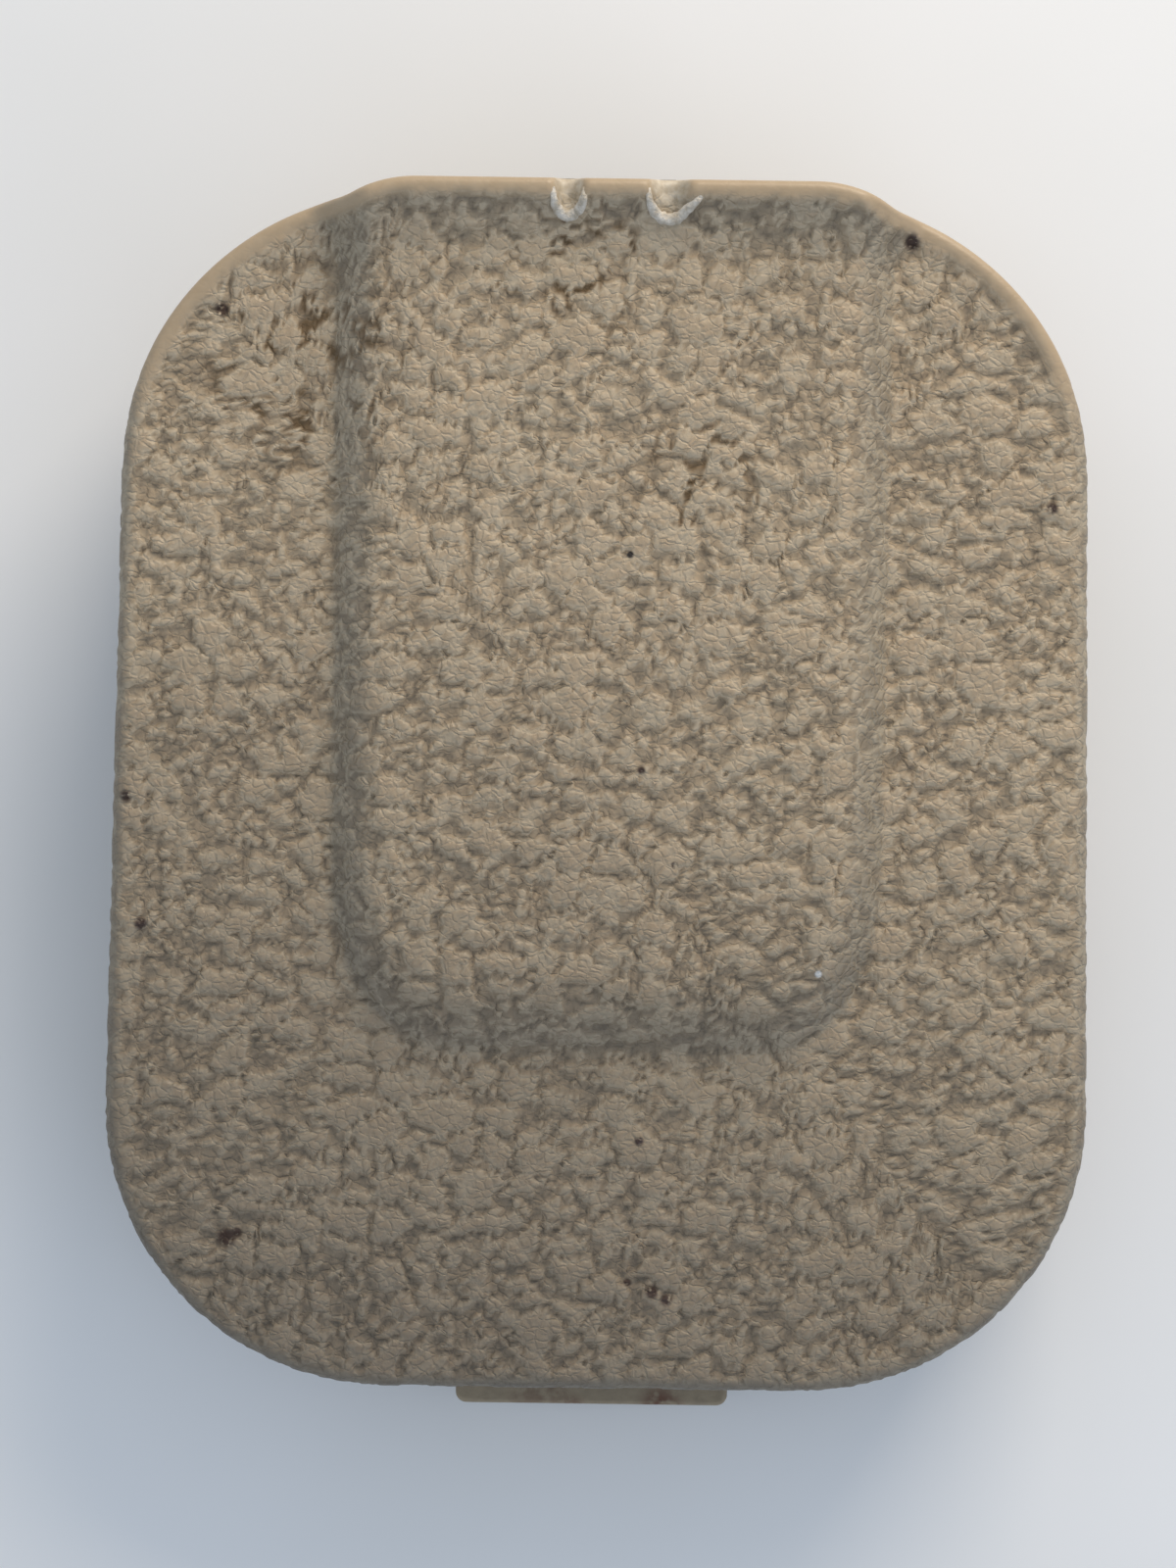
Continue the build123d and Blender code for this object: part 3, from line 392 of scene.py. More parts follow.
# %% [markdown]
# ## The cover as one closed shell
# The rows run from the top over the rounded edge, down the skirt, round its lower rim and up inside
# to the ceiling, which is coarser because nobody sees it. Two notches are cut by lifting the skirt's
# lower rim: one at the heel for the tray's tab, and one at the toe for the cord's gland.

# %% Build the cover's shell
notch_half, notch_z = 15.6, 12.3
gland_half, gland_z = 7.0, 17.6
foot_round = 0.4
skirt_rows, edge_rows = 23, 7


def skirt_foot(points):
    """Height of the skirt's lower rim under each outline point."""
    x, y = points.T
    near = 1e-3
    at_heel = (y < heel_y + corner_radius / 2) & (np.abs(x) < notch_half + near)
    at_toe = (y > nose_y - corner_radius / 2) & (np.abs(x) < gland_half + near)
    return np.where(at_heel, notch_z, np.where(at_toe, gland_z, skirt_z))


def shell_rows():
    """Rows of points (N, 3) from the rounded edge down the skirt, round its rim and up inside."""
    in_rim = smooth_step(0.0, rim_height, edge_rise(*outline.T))
    radius = side_round + (crest_round - side_round) * in_rim
    start = outline + into * radius[:, None]
    edge_z = top_height(*start.T)
    foot_z = skirt_foot(outline)
    rows = []
    for turn in np.radians(np.linspace(0, 90, edge_rows)):
        level = outline + into * (radius * (1 - math.sin(turn)))[:, None]
        rows.append((level, edge_z - radius * (1 - math.cos(turn))))
    top_of_skirt = edge_z - radius
    for share in np.linspace(0, 1, skirt_rows + 1)[1:]:
        rows.append((outline, top_of_skirt + (foot_z + foot_round - top_of_skirt) * share))
    rows.append((outline + into * foot_round, foot_z))
    rows.append((outline + into * (skirt_wall - foot_round), foot_z))
    ceiling_z = plate_z - cover_plate
    for share in (0.0, 0.5, 1.0):
        inner_z = foot_z + foot_round + (ceiling_z - foot_z - foot_round) * share
        rows.append((outline + into * skirt_wall, inner_z))
    return [np.column_stack((level, z)) for level, z in rows]


def cover_shell():
    """Points in mm and faces of the whole shell, level, and which points carry grain."""
    rows = shell_rows()
    top, quads, rim = ring_grid(rows[0][:, :2])
    points = [np.column_stack((top, top_height(*top.T)))]
    points[0][rim] = rows[0]
    faces = quads.tolist()
    above, count = rim, len(points[0])
    for row in rows[1:]:
        below = np.arange(count, count + len(row))
        faces += np.column_stack((above, below, np.roll(below, -1), np.roll(above, -1))).tolist()
        points.append(row)
        above, count = below, count + len(row)
    outer_end = len(points[0]) + (edge_rows - 1 + skirt_rows) * len(outline)
    coarse = 4
    ceiling, quads, rim = ring_grid((outline + into * (skirt_wall + 1.5))[::coarse])
    ceiling_z = plate_z - cover_plate + pad_height * pad_share(*ceiling.T, thinning=1.5)
    ceiling_z = np.where(-outside(*ceiling.T) < skirt_wall + 3, plate_z - cover_plate, ceiling_z)
    points.append(np.column_stack((ceiling, ceiling_z)))
    faces += (quads[:, ::-1] + count).tolist()
    for step in range(len(rim)):
        fine = [above[(coarse * step + k) % len(above)] for k in range(coarse + 1)]
        faces.append([int(v) for v in (*fine[::-1], rim[step] + count, rim[(step + 1) % len(rim)] + count)])
    return np.vstack(points), faces, outer_end


shell_points, shell_faces, outer_end = cover_shell()
print("cover points:", len(shell_points), "faces:", len(shell_faces))

# %% [markdown]
# ## Leather grain
# The mould was etched from a sheet of coarse, crinkled leather, so the cover shows flat-topped
# pebbles 2 to 4 mm wide, and between them strips of crumbs about a millimetre wide with deep pits.
# Voronoi cells are the usual way to draw both: the gap between the two nearest cell middles is
# nought on a border. Warping the place first stops the borders from being straight. Crumbs and
# valleys are real geometry; pits finer than the mesh come later, from the material.

# %% Grain as a depth at a point
pebble, crumb, patch = 3.9, 1.5, 7.0
grain_deep = 0.62
wider = Vector((0.85, 1.15, 1.0))     # the leather was stretched across, so its grain lies that way
grain_seed = 5
noise.seed_set(grain_seed)            # without a seed, noise vectors differ from one run to the next


def faded(value, low, high):
    share = min(max((value - low) / (high - low), 0.0), 1.0)
    return share * share * (3 - 2 * share)


def grain_valley(point):
    """Nought on a pebble's top and one at the bottom of a valley, at a point in mm."""
    spot = point * wider + noise.noise_vector(point / 2.6) * 1.1 + noise.noise_vector(point / 0.9) * 0.35
    near = noise.voronoi(spot / pebble)[0]
    fine = noise.voronoi(spot / crumb + Vector((3, 1, 4)))[0]
    broad = faded(noise.noise(point / patch + Vector((9, 4, 2))), -0.45, 0.35)
    between = 1 - faded(near[1] - near[0], 0.04, 0.22 + 0.38 * broad)
    crumbs = 1 - faded(fine[1] - fine[0], 0.02, 0.36)
    return min(between * (0.22 + 0.78 * crumbs) + (1 - between) * crumbs * (0.10 + 0.22 * broad), 1.0)


def grain_swell(point):
    """Slow unevenness of the pebbles' tops, from nought to one."""
    slow = noise.noise(point / 3.2 + Vector((5, 5, 5)))
    quick = noise.noise(point / 1.1)
    return min(max(0.5 + 0.45 * slow + 0.2 * quick, 0.0), 1.0)


print("grain depth:", grain_deep, "mm, pebbles about", pebble, "mm wide")

# %% [markdown]
# ## Torn nicks and the finished cover mesh
# The toe stop has two old nicks, where something hard struck it and pushed a tongue of plastic in.
# Each is a bowl pressed into the crest. The grain is pushed in along the surface's own direction, so
# it stays true on the slopes, where it is shallower, and it fades out at the smooth crest and rim.
# What a material needs to know later, such as how deep a valley is, is kept as a point attribute.

# %% Cover mesh
nicks = [(-4.1, 3.8, 4.6), (6.2, 5.2, 5.0)]     # place across, width and depth in plan, in mm
nick_drop = 1.9


def nick_share(x, y, nick):
    """One in the middle of a nick at the edge, nought outside it."""
    across, width, deep = nick
    far = np.hypot((x - across) / (width / 2), (nose_y - y) / deep)
    return 1 - smooth_step(0.25, 1.0, far)


def mesh_object(name, points_mm, faces):
    """A mesh object from points in mm at rest."""
    mesh = bpy.data.meshes.new(name)
    mesh.from_pydata((np.asarray(points_mm) * MM).tolist(), [], faces)
    mesh.validate()
    mesh.shade_smooth()
    made = bpy.data.objects.new(name, mesh)
    bpy.context.scene.collection.objects.link(made)
    return made


def keep_share(piece, name, values):
    """Keeps one number for each point of a mesh, for its material."""
    layer = piece.data.attributes.new(name, "FLOAT", "POINT")
    layer.data.foreach_set("value", np.asarray(values, np.float32))


def grained_cover():
    """The cover's mesh with its grain and nicks, turned up to rest."""
    points = shell_points.copy()
    x, y, z = points.T
    plain = mesh_object("plain_cover", points, shell_faces)
    normals = np.zeros(len(points) * 3, np.float32)
    plain.data.vertices.foreach_get("normal", normals)
    normals = normals.reshape(-1, 3)
    bpy.data.objects.remove(plain)
    inset = -outside(x, y)
    rise = edge_rise(x, y)
    outer = np.arange(len(points)) < outer_end
    in_rim = smooth_step(0.05, 0.35, rise) * outer
    band = in_rim * (1 - smooth_step(crest_width - 0.3, crest_width + 0.5, inset))
    band *= smooth_step(-4.2, -2.4, z - plate_z - rise)
    side_band = (1 - smooth_step(0.6, 2.4, inset)) * (z > plate_z - side_round)
    steep = 1 - smooth_step(0.75, 0.985, normals[:, 2])
    on_slope = steep * (inset > side_round)
    amount = outer * (1 - 0.97 * band) * (1 - 0.75 * side_band) * (1 - 0.5 * on_slope)
    amount *= smooth_step(skirt_z - 0.5, skirt_z + 3.0, z)
    torn = np.max([nick_share(x, y, nick) for nick in nicks], axis=0) * outer * (z > crest_z - 2.4)
    valley = np.array([grain_valley(Vector(p)) if a > 0.02 else 0.0 for p, a in zip(points, amount)])
    swell = np.array([grain_swell(Vector(p)) if a > 0.02 else 0.0 for p, a in zip(points, amount)])
    depth = amount * grain_deep * (valley + 0.28 * swell)
    points -= normals * depth[:, None]
    points[:, 2] -= torn * nick_drop
    piece = mesh_object("grained_cover", turned(points, rest_angle), shell_faces)
    on_wall = inset < 0.1
    keep_share(piece, "valley", valley * np.clip(amount * 1.3, 0, 1) * (1 - 0.4 * on_wall))
    keep_share(piece, "band", band)
    keep_share(piece, "torn", torn)
    keep_share(piece, "steep", steep * outer)
    return piece


cover = grained_cover()
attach(cover, "cover")
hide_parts("top_cover")
print("cover size in mm:", [round(v / MM, 1) for v in cover.dimensions])

# %% [markdown]
# ## The cover's plastic
# The cover is ABS, moulded in tan and matt from its etched mould. Years of feet have polished the
# pebbles' tops a little and left greyish dirt in the valleys. The material is built in layers: clean
# tan plastic first, then a slow yellowing, painted shade on the steep slopes and walls, painted
# highlights on the pebbles' edges, grey dirt and painted shade in the valleys and pits, brown patches
# of old oil beside the pad, painted shade towards the heel and the left, and last a few dark spots and
# specks, each at its own place. The bare crest of the toe stop has no grain to hold dirt, so it stays
# lighter. Torn edges show the plastic's pale inside. What a mesh point keeps, such as how deep in a
# valley it lies, is read as an attribute.

# %% Grained ABS
def near_place(tree, place, middle_mm, reach_mm):
    """One at a place on the model, falling to nought at reach_mm from it."""
    middle = [value * MM for value in middle_mm]
    gap = add(tree, "VectorMath", {0: place, 1: middle}, operation="DISTANCE", output="Value")
    inputs = {"Value": gap, "From Min": reach_mm * MM, "From Max": 0.35 * reach_mm * MM}
    return add(tree, "MapRange", inputs, interpolation_type="SMOOTHSTEP")


old_spots = [(-38.9, -46.4, 1.5), (-37.8, -45.8, 0.8), (6.2, -51.6, 1.0), (7.7, -52.4, 0.9),
             (3.6, -50.6, 0.6), (4.6, -35.5, 0.7), (-48.0, -13.2, 1.0), (-49.6, 0.2, 0.9),
             (-39.8, 50.6, 1.1), (31.3, 58.4, 1.2), (4.2, 3.6, 0.6), (7.8, -6.2, 0.5),
             (-27.0, 63.4, 1.1), (46.5, 31.4, 0.9)]            # places x and y, and reach, in mm
oil_patches = [(-31, 45, 34, 15), (-3, 56, 39, 11), (10, 33, 38, 9)]


def grain_dirt_and_shade(tree, place, kept, colour):
    """Painted highlights on pebble edges, grey dirt and painted shade in the valleys, and painted shade in
    the pits, over a colour.
    """
    valley = kept["valley"]
    # The pebbles' edges, between their tops and the valleys, are painted lighter: a painted highlight.
    rising = add(tree, "MapRange", {0: valley, 1: 0.04, 2: 0.22})
    falling = add(tree, "MapRange", {0: valley, 1: 0.5, 2: 0.26})
    edge = add(tree, "Math", {0: rising, 1: falling}, operation="MULTIPLY")
    colour = coat(tree, colour, linear("c6b89d"), edge, 0.38)
    # The valleys are painted darker: grey dirt and painted shade.
    colour = coat(tree, colour, linear("685c4b"), add(tree, "MapRange", {0: valley, 1: 0.3, 2: 0.9}), 0.30)
    # The deepest pits are painted darker still: painted shade.
    deep = add(tree, "MapRange", {0: valley, 1: 0.7, 2: 0.95})
    pit = add(tree, "Math", {0: deep, 1: speckle(tree, place, 1.1, 0.42, 0.56)}, operation="MULTIPLY")
    return coat(tree, colour, linear("473e31"), pit, 0.42)


def old_oil(tree, place, kept, colour):
    """Brown oil that has crept along the valleys in a few patches."""
    oil = 0.0
    for *middle, reach in oil_patches:
        near = near_place(tree, place, middle, reach)
        oil = add(tree, "Math", {0: oil, 1: near}, operation="ADD", use_clamp=True)
    patchy = add(tree, "Math", {0: oil, 1: speckle(tree, place, 3.2, 0.47, 0.6)}, operation="MULTIPLY")
    in_valley = add(tree, "MapRange", {0: kept["valley"], 1: 0.25, 2: 0.8})
    soaked = add(tree, "Math", {0: patchy, 1: in_valley}, operation="MULTIPLY")
    return coat(tree, colour, linear("5f4620"), soaked, 0.85)


def bare_places(tree, place, kept, colour):
    """The crest that has no grain, and the pale torn plastic of the nicks."""
    rubbed = speckle(tree, place, 1.4, 0.3, 0.8, detail=3.0)
    crest_tan = coat(tree, linear("a89273"), linear("b09b7d"), rubbed)
    colour = coat(tree, colour, crest_tan, kept["band"], 0.92)
    pale = coat(tree, linear("c8bca6"), linear("a8987e"), speckle(tree, place, 0.8, 0.3, 0.7))
    return coat(tree, colour, pale, add(tree, "MapRange", {0: kept["torn"], 1: 0.12, 2: 0.5}))


def dark_specks(tree, place, kept, colour):
    """Scattered dark dots, the old spots at their places, and one white speck."""
    far = add(tree, "TexVoronoi", {"Vector": place, "Scale": per_metre(9.0), "Randomness": 1.0})
    some = add(tree, "TexNoise", {"Vector": place, "Scale": per_metre(14.0)})
    dot = add(tree, "MapRange", {0: far, 1: 0.055, 2: 0.03})
    here = add(tree, "MapRange", {0: some, 1: 0.5, 2: 0.54})
    dot = add(tree, "Math", {0: dot, 1: here}, operation="MULTIPLY")
    colour = coat(tree, colour, linear("2c241c"), dot)
    plan = add(tree, "VectorMath", {0: place, 1: (1, 1, 0)}, operation="MULTIPLY")
    on_top = add(tree, "MapRange", {0: kept["steep"], 1: 1.0, 2: 0.7})
    ragged = add(tree, "Math", {0: speckle(tree, place, 0.6, 0.3, 0.45), 1: on_top}, operation="MULTIPLY")
    for x, y, reach in old_spots:
        colour = coat(tree, colour, linear("35200f"), near_place(tree, plan, (x, y, 0), reach), ragged)
    return coat(tree, colour, linear("e9e6de"), near_place(tree, plan, (23.0, -17.4, 0), 0.5))


def fine_grit(tree, place, band):
    """Height of the pits and crinkles that are finer than the mesh, from nought to one."""
    pits = speckle(tree, place, 0.55, 0.3, 0.75, detail=5.0)
    drift = add(tree, "TexNoise", {"Vector": place, "Scale": per_metre(1.5), "Detail": 2.0}, output="Color")
    drifted = add(tree, "MixRGB", {"Fac": 0.0012, "Color1": place, "Color2": drift}, blend_type="ADD")
    stretched = add(tree, "Mapping", {"Vector": drifted, "Scale": tuple(wider)})
    cells = {"Vector": stretched, "Scale": per_metre(1.05), "Randomness": 1.0}
    border = add(tree, "TexVoronoi", cells, feature="DISTANCE_TO_EDGE")
    crinkles = add(tree, "MapRange", {0: border, 1: 0.0, 2: 0.2})
    pits = add(tree, "Math", {0: pits, 1: 0.35}, operation="MULTIPLY")
    crinkles = add(tree, "Math", {0: crinkles, 1: 0.65}, operation="MULTIPLY")
    both = add(tree, "Math", {0: pits, 1: crinkles}, operation="ADD", use_clamp=True)
    grained = add(tree, "MapRange", {0: band, 3: 1.0, 4: 0.1})
    return add(tree, "Math", {0: both, 1: grained}, operation="MULTIPLY")


def grained_abs():
    """ABS, IOR 1.54, matt from the mould: broad soft highlights on tan, dirt and painted shade in the
    valleys.
    """
    material, tree, shader, place = new_material("Moulded ABS, coarse leather grain", 0.5, ior=1.54)
    kept = {name: add(tree, "Attribute", output="Fac", attribute_name=name)
            for name in ("valley", "band", "torn", "steep")}
    colour = coat(tree, linear("ab9475"), linear("b39c7c"), speckle(tree, place, 26.0, 0.35, 0.65))
    mottle = speckle(tree, place, 2.6, 0.32, 0.68, detail=5.0)
    colour = coat(tree, colour, linear("93856d"), mottle, 0.5)
    flecks = speckle(tree, place, 0.7, 0.4, 0.75, detail=4.0)
    colour = coat(tree, colour, linear("b9ab92"), flecks, 0.28)
    # Steep slopes and walls are painted darker: painted shade.
    colour = coat(tree, colour, linear("746d5f"), kept["steep"], 0.6)
    colour = grain_dirt_and_shade(tree, place, kept, colour)
    colour = old_oil(tree, place, kept, colour)
    colour = bare_places(tree, place, kept, colour)
    # Darker towards the heel and the left: painted shade.
    to_toe = add(tree, "VectorMath", {0: place, 1: (0.35, 1.0, 0.0)}, operation="DOT_PRODUCT", output="Value")
    painted_heel_shade = add(tree, "MapRange", {0: to_toe, 1: 20 * MM, 2: -65 * MM})
    colour = coat(tree, colour, linear("423e37"), painted_heel_shade, 0.60)
    tree.links.new(dark_specks(tree, place, kept, colour), shader.inputs["Base Color"])
    polish = add(tree, "MapRange", {0: kept["valley"], 1: 0.0, 2: 0.6, 3: 0.42, 4: 0.66})
    dulling = add(tree, "Math", {0: flecks, 1: 0.10}, operation="MULTIPLY")
    rough = add(tree, "Math", {0: polish, 1: dulling}, operation="ADD", use_clamp=True)
    tree.links.new(rough, shader.inputs["Roughness"])
    raise_bumps(tree, shader, fine_grit(tree, place, kept["band"]), 0.14)
    return material


cover.data.materials.append(grained_abs())
print("cover finish:", cover.data.materials[0].name)

# %% [markdown]
# ## Tongues of torn plastic
# Where the crest was struck, a tongue of plastic was pushed in and has curled up round the bowl. Each
# is a thin tapering roll, so it is swept along a U: a ring of points is carried along the path, and
# its size shrinks to nothing at the ends. The right tongue ends in a long fine wisp.

# %% Curls at the nicks
def swept_roll(path, radii, flatten=1.0, sides=12):
    """Points in mm and faces of a closed roll along path; flatten squashes it in height."""
    path = np.asarray(path)
    ahead = np.gradient(path, axis=0)
    ahead /= np.linalg.norm(ahead, axis=1)[:, None]
    across = np.cross(ahead, (0.0, 0.0, 1.0))
    across /= np.linalg.norm(across, axis=1)[:, None]
    above = np.cross(across, ahead)
    turn = np.linspace(0, 2 * math.pi, sides, endpoint=False)
    rings = [p + r * (np.outer(np.cos(turn), a) + flatten * np.outer(np.sin(turn), u))
             for p, r, a, u in zip(path, radii, across, above)]
    faces = []
    for start in range(0, (len(path) - 1) * sides, sides):
        for k in range(sides):
            beside = (k + 1) % sides
            faces.append((start + beside, start + k, start + sides + k, start + sides + beside))
    last = (len(path) - 1) * sides
    faces += [tuple(range(sides)), tuple(range(last, last + sides))[::-1]]
    return np.vstack(rings), faces


tongue_steps, tongue_radius, thin_end, wisp_start = 41, 0.62, 0.03, 0.55


def torn_tongue(name, nick, wisp, seed):
    """The curl round one nick. wisp is how far its right end reaches on, in mm."""
    across, width, deep = nick
    u = np.linspace(-1, 1, tongue_steps)
    swing, dip = np.sin(u * math.pi / 2), np.cos(u * math.pi / 2)
    beyond = np.clip(u - wisp_start, 0, 1)
    x = across + width * 0.42 * swing + wisp * beyond ** 1.3 * 2.2
    y = nose_y - 0.9 - deep * 0.62 * dip ** 0.8 - 0.6 * beyond * (wisp > 0)
    z = top_height(x, y) - nick_drop * 0.35 * dip + 0.10
    z = np.minimum(z, crest_z - 0.35)
    wobble = np.array([noise.noise(Vector((k * 0.35, seed, 0))) for k in range(tongue_steps)])
    radii = tongue_radius * np.cos(u * math.pi / 2 * 0.93) ** 0.6 * (1 + 0.35 * wobble) + thin_end
    points, faces = swept_roll(np.column_stack((x, y, z)), radii, flatten=0.75)
    return mesh_object(name, turned(points, rest_angle), faces)


def torn_abs():
    """Stress-whitened ABS: a fresh break in tan ABS is paler than its skin, and quite matt."""
    material, tree, shader, place = new_material("Torn ABS, stress-whitened", 0.7, ior=1.54)
    chalk = speckle(tree, place, 0.9, 0.35, 0.7, detail=5.0)
    colour = coat(tree, linear("d9d2c4"), linear("a89a82"), chalk)
    tree.links.new(colour, shader.inputs["Base Color"])
    raise_bumps(tree, shader, speckle(tree, place, 0.4, 0.3, 0.7, detail=4.0), 0.12)
    return material


stress_white = torn_abs()
tongues = [torn_tongue("torn_tongue_left", nicks[0], wisp=0.0, seed=1.0),
           torn_tongue("torn_tongue_right", nicks[1], wisp=1.6, seed=4.0)]
for tongue in tongues:
    tongue.data.materials.append(stress_white)
    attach(tongue, "cover")
print("torn tongues:", [t.name for t in tongues])

# %% [markdown]
# ## What is moulded under the cover
# Two lugs turn on the hinge pin, two barbed legs catch the tray and hold the cover down against its
# springs, and a boss under the pad holds the screw that works the resistor. They are drawn as flat
# outlines and thickened, which keeps their holes round and lets one setting round all their edges.

# %% Lugs, hooks and boss
def thickened(name, loops, thickness, rounding=0.25):
    """A plate in mm from closed outlines, the first the rim and the others holes, with rounded edges."""
    curve = bpy.data.curves.new(name, "CURVE")
    curve.dimensions, curve.fill_mode = "2D", "BOTH"
    for loop in loops:
        spline = curve.splines.new("POLY")
        spline.points.add(len(loop) - 1)
        for point, (x, y) in zip(spline.points, loop):
            point.co = (x, y, 0, 1)
        spline.use_cyclic_u = True
    curve.offset = -rounding
    curve.bevel_depth, curve.bevel_resolution = rounding, 3
    curve.extrude = thickness / 2 - rounding
    holder = bpy.data.objects.new(name + "_outline", curve)
    bpy.context.scene.collection.objects.link(holder)
    view = bpy.context.evaluated_depsgraph_get()
    mesh = bpy.data.meshes.new_from_object(holder.evaluated_get(view))
    points = np.array([v.co for v in mesh.vertices])
    faces = [list(f.vertices) for f in mesh.polygons]
    bpy.data.objects.remove(holder)
    return points, faces


def arc(radius, start, end, steps, closed=False):
    """Points of an arc about the outline's middle; a closed one doesn't repeat its first point."""
    angles = np.linspace(start, end, steps, endpoint=not closed)
    return [(radius * math.cos(a), radius * math.sin(a)) for a in angles]


def circle(radius):
    return arc(radius, 0, 2 * math.pi, 48, closed=True)


def under_cover(name, loops, thickness, to_place):
    """A moulded feature under the cover, from a plate that to_place carries to its level place."""
    points, faces = thickened(name, loops, thickness)
    piece = mesh_object(name, turned(to_place(points), rest_angle), faces)
    weld = piece.modifiers.new("weld", "WELD")
    weld.merge_threshold = 1e-3 * MM
    piece.data.materials.append(cover.data.materials[0])
    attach(piece, "cover")
    return piece


def level_middle(node):
    """Middle of one of the cover's own nodes, in mm, with the cover laid level."""
    points = turned(np.array([v.co for v in frame["nodes"][node].data.vertices]) / MM, -rest_angle)
    return (points.min(axis=0) + points.max(axis=0)) / 2


lug_x, lug_thick, lug_radius, web, pin_hole = 19.7, 5.0, 4.5, 7.0, 2.05
moulded_in = 0.4          # how far each feature runs into the cover's plastic
ceiling_z = plate_z - cover_plate + moulded_in
web_meets = math.acos(web / 2 / lug_radius)
lug_rim = arc(lug_radius, web_meets, -math.pi - web_meets, 41)
lug_rim += [(-web / 2, ceiling_z - hinge_z), (web / 2, ceiling_z - hinge_z)]
hook_x, hook_thick, hook_wide, barb_out, barb_high, hook_inset = 19.0, 2.0, 7.0, 1.6, 2.0, 8.6
hook_y = nose_y - hook_inset
tray_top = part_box("base_shell")[1].z / MM
barb_z = tray_top - 2.2 - (hook_y - hinge_y) * math.sin(rest_angle)
pad_ceiling = ceiling_z + pad_height
hook_rim = [(0, pad_ceiling), (-hook_thick, pad_ceiling), (-hook_thick, barb_z - barb_high),
            (barb_out, barb_z - barb_high), (barb_out, barb_z), (0, barb_z)]
for side, hand in ((-1, "left"), (1, "right")):
    lug_place = np.array((side * lug_x, hinge_y, hinge_z))
    under_cover("hinge_lug_" + hand, [lug_rim, circle(pin_hole)], lug_thick,
                lambda p: p[:, [2, 0, 1]] + lug_place)
    hook_place = np.array((side * hook_x + pad_shift, hook_y, 0))
    under_cover("toe_hook_" + hand, [hook_rim], hook_wide, lambda p: p[:, [2, 0, 1]] + hook_place)
screw_place = level_middle("actuator_screw")
boss_low, boss_radius, screw_hole = plate_z - cover_plate + pad_height - 4.2, 5.5, 2.53
boss_place = np.array((screw_place[0], screw_place[1], (boss_low + pad_ceiling) / 2))
under_cover("screw_boss", [circle(boss_radius), circle(screw_hole)], pad_ceiling - boss_low,
            lambda p: p + boss_place)
print("features under the cover: 2 lugs, 2 hooks and a boss")

# %% [markdown]
# ## Return springs
# Two springs of 1 mm wire push the cover up. Each is wound round a mandrel, and its last turn at each
# end is closed, so that it stands square. The wire is swept along a helix whose climb slows at both
# ends. When the cover is pressed the whole spring shortens.

# %% Return springs
wire, turns, end_turn, pressed_share = 1.0, 6.5, 0.8, 0.75


def wound_spring(name, node):
    """A spring with closed ends that fills the box of its node."""
    low, high = (np.array(corner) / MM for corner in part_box(node))
    middle, radius = (low + high) / 2, (high[0] - low[0] - wire) / 2
    turn = np.linspace(0, turns, 260)
    climb = high[2] - low[2] - wire
    closed = end_turn * wire
    lift = np.interp(turn, (0, end_turn, turns - end_turn, turns), (0, closed, climb - closed, climb))
    angle = 2 * math.pi * turn
    path = np.column_stack((middle[0] + radius * np.cos(angle), middle[1] + radius * np.sin(angle),
                            low[2] + wire / 2 + lift))
    points, faces = swept_roll(path, np.full(len(path), wire / 2))
    spring = mesh_object(name, points, faces)
    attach(spring, "base")
    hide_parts(node)
    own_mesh(spring)
    return spring


springs = [wound_spring("coil_spring_" + hand, "return_spring_" + hand) for hand in ("left", "right")]
print("springs:", [s.name for s in springs])

# %% [markdown]
# ## The tray's plastic
# The tray is the same tan ABS, but its mould was only blasted, so it is smooth to the eye with a fine
# matt skin. It has darkened a little less evenly, and steel parts have left two rust marks on the tab
# at the heel, which are drawn as soft spots at places on the tab.

# %% Tray ABS
rust_marks = [(-1.9, 2.2, 1.0), (7.6, 3.4, 1.0), (-5.6, 5.0, 0.4)]     # place across, reach in mm, strength


def tray_abs():
    """Blasted ABS, IOR 1.54: one even tan with a dull sheen and fine tooth."""
    material, tree, shader, place = new_material("Moulded ABS, blasted matt", 0.5, ior=1.54)
    cloud = speckle(tree, place, 18.0, 0.3, 0.7, detail=4.0)
    colour = coat(tree, linear("9a8a6f"), linear("8c7e65"), cloud)
    dust = speckle(tree, place, 1.2, 0.45, 0.75, detail=6.0)
    colour = coat(tree, colour, linear("6b6050"), dust, 0.35)
    tab_y, tab_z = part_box("base_shell")[0].y / MM, 8.0      # the tab's outer face
    blotch = speckle(tree, place, 1.1, 0.35, 0.55, detail=4.0)
    rust = 0.0
    for across, reach, strength in rust_marks:
        near = near_place(tree, place, (across, tab_y, tab_z), reach)
        near = add(tree, "Math", {0: near, 1: strength}, operation="MULTIPLY")
        rust = add(tree, "Math", {0: rust, 1: near}, operation="ADD", use_clamp=True)
    colour = coat(tree, colour, linear("5a3118"), rust, blotch)
    tree.links.new(colour, shader.inputs["Base Color"])
    vary_roughness(tree, shader, dust, 0.48, 0.66)
    raise_bumps(tree, shader, speckle(tree, place, 0.5, 0.3, 0.7, detail=3.0), 0.03)
    return material


print("tray finish ready")

# %% [markdown]
# ## Steels
# Steel shows what was done to it. Zinc plate is a soft grey with faint bluish and straw clouds from
# its chromate dip. Screws are nickelled, brighter and warmer. Ground pins have fine rings round them,
# and spring wire is dark from its heat treatment and its oil. Metals get their colour from the
# mirror colour, so metallic is one, and roughness carries most of the difference.

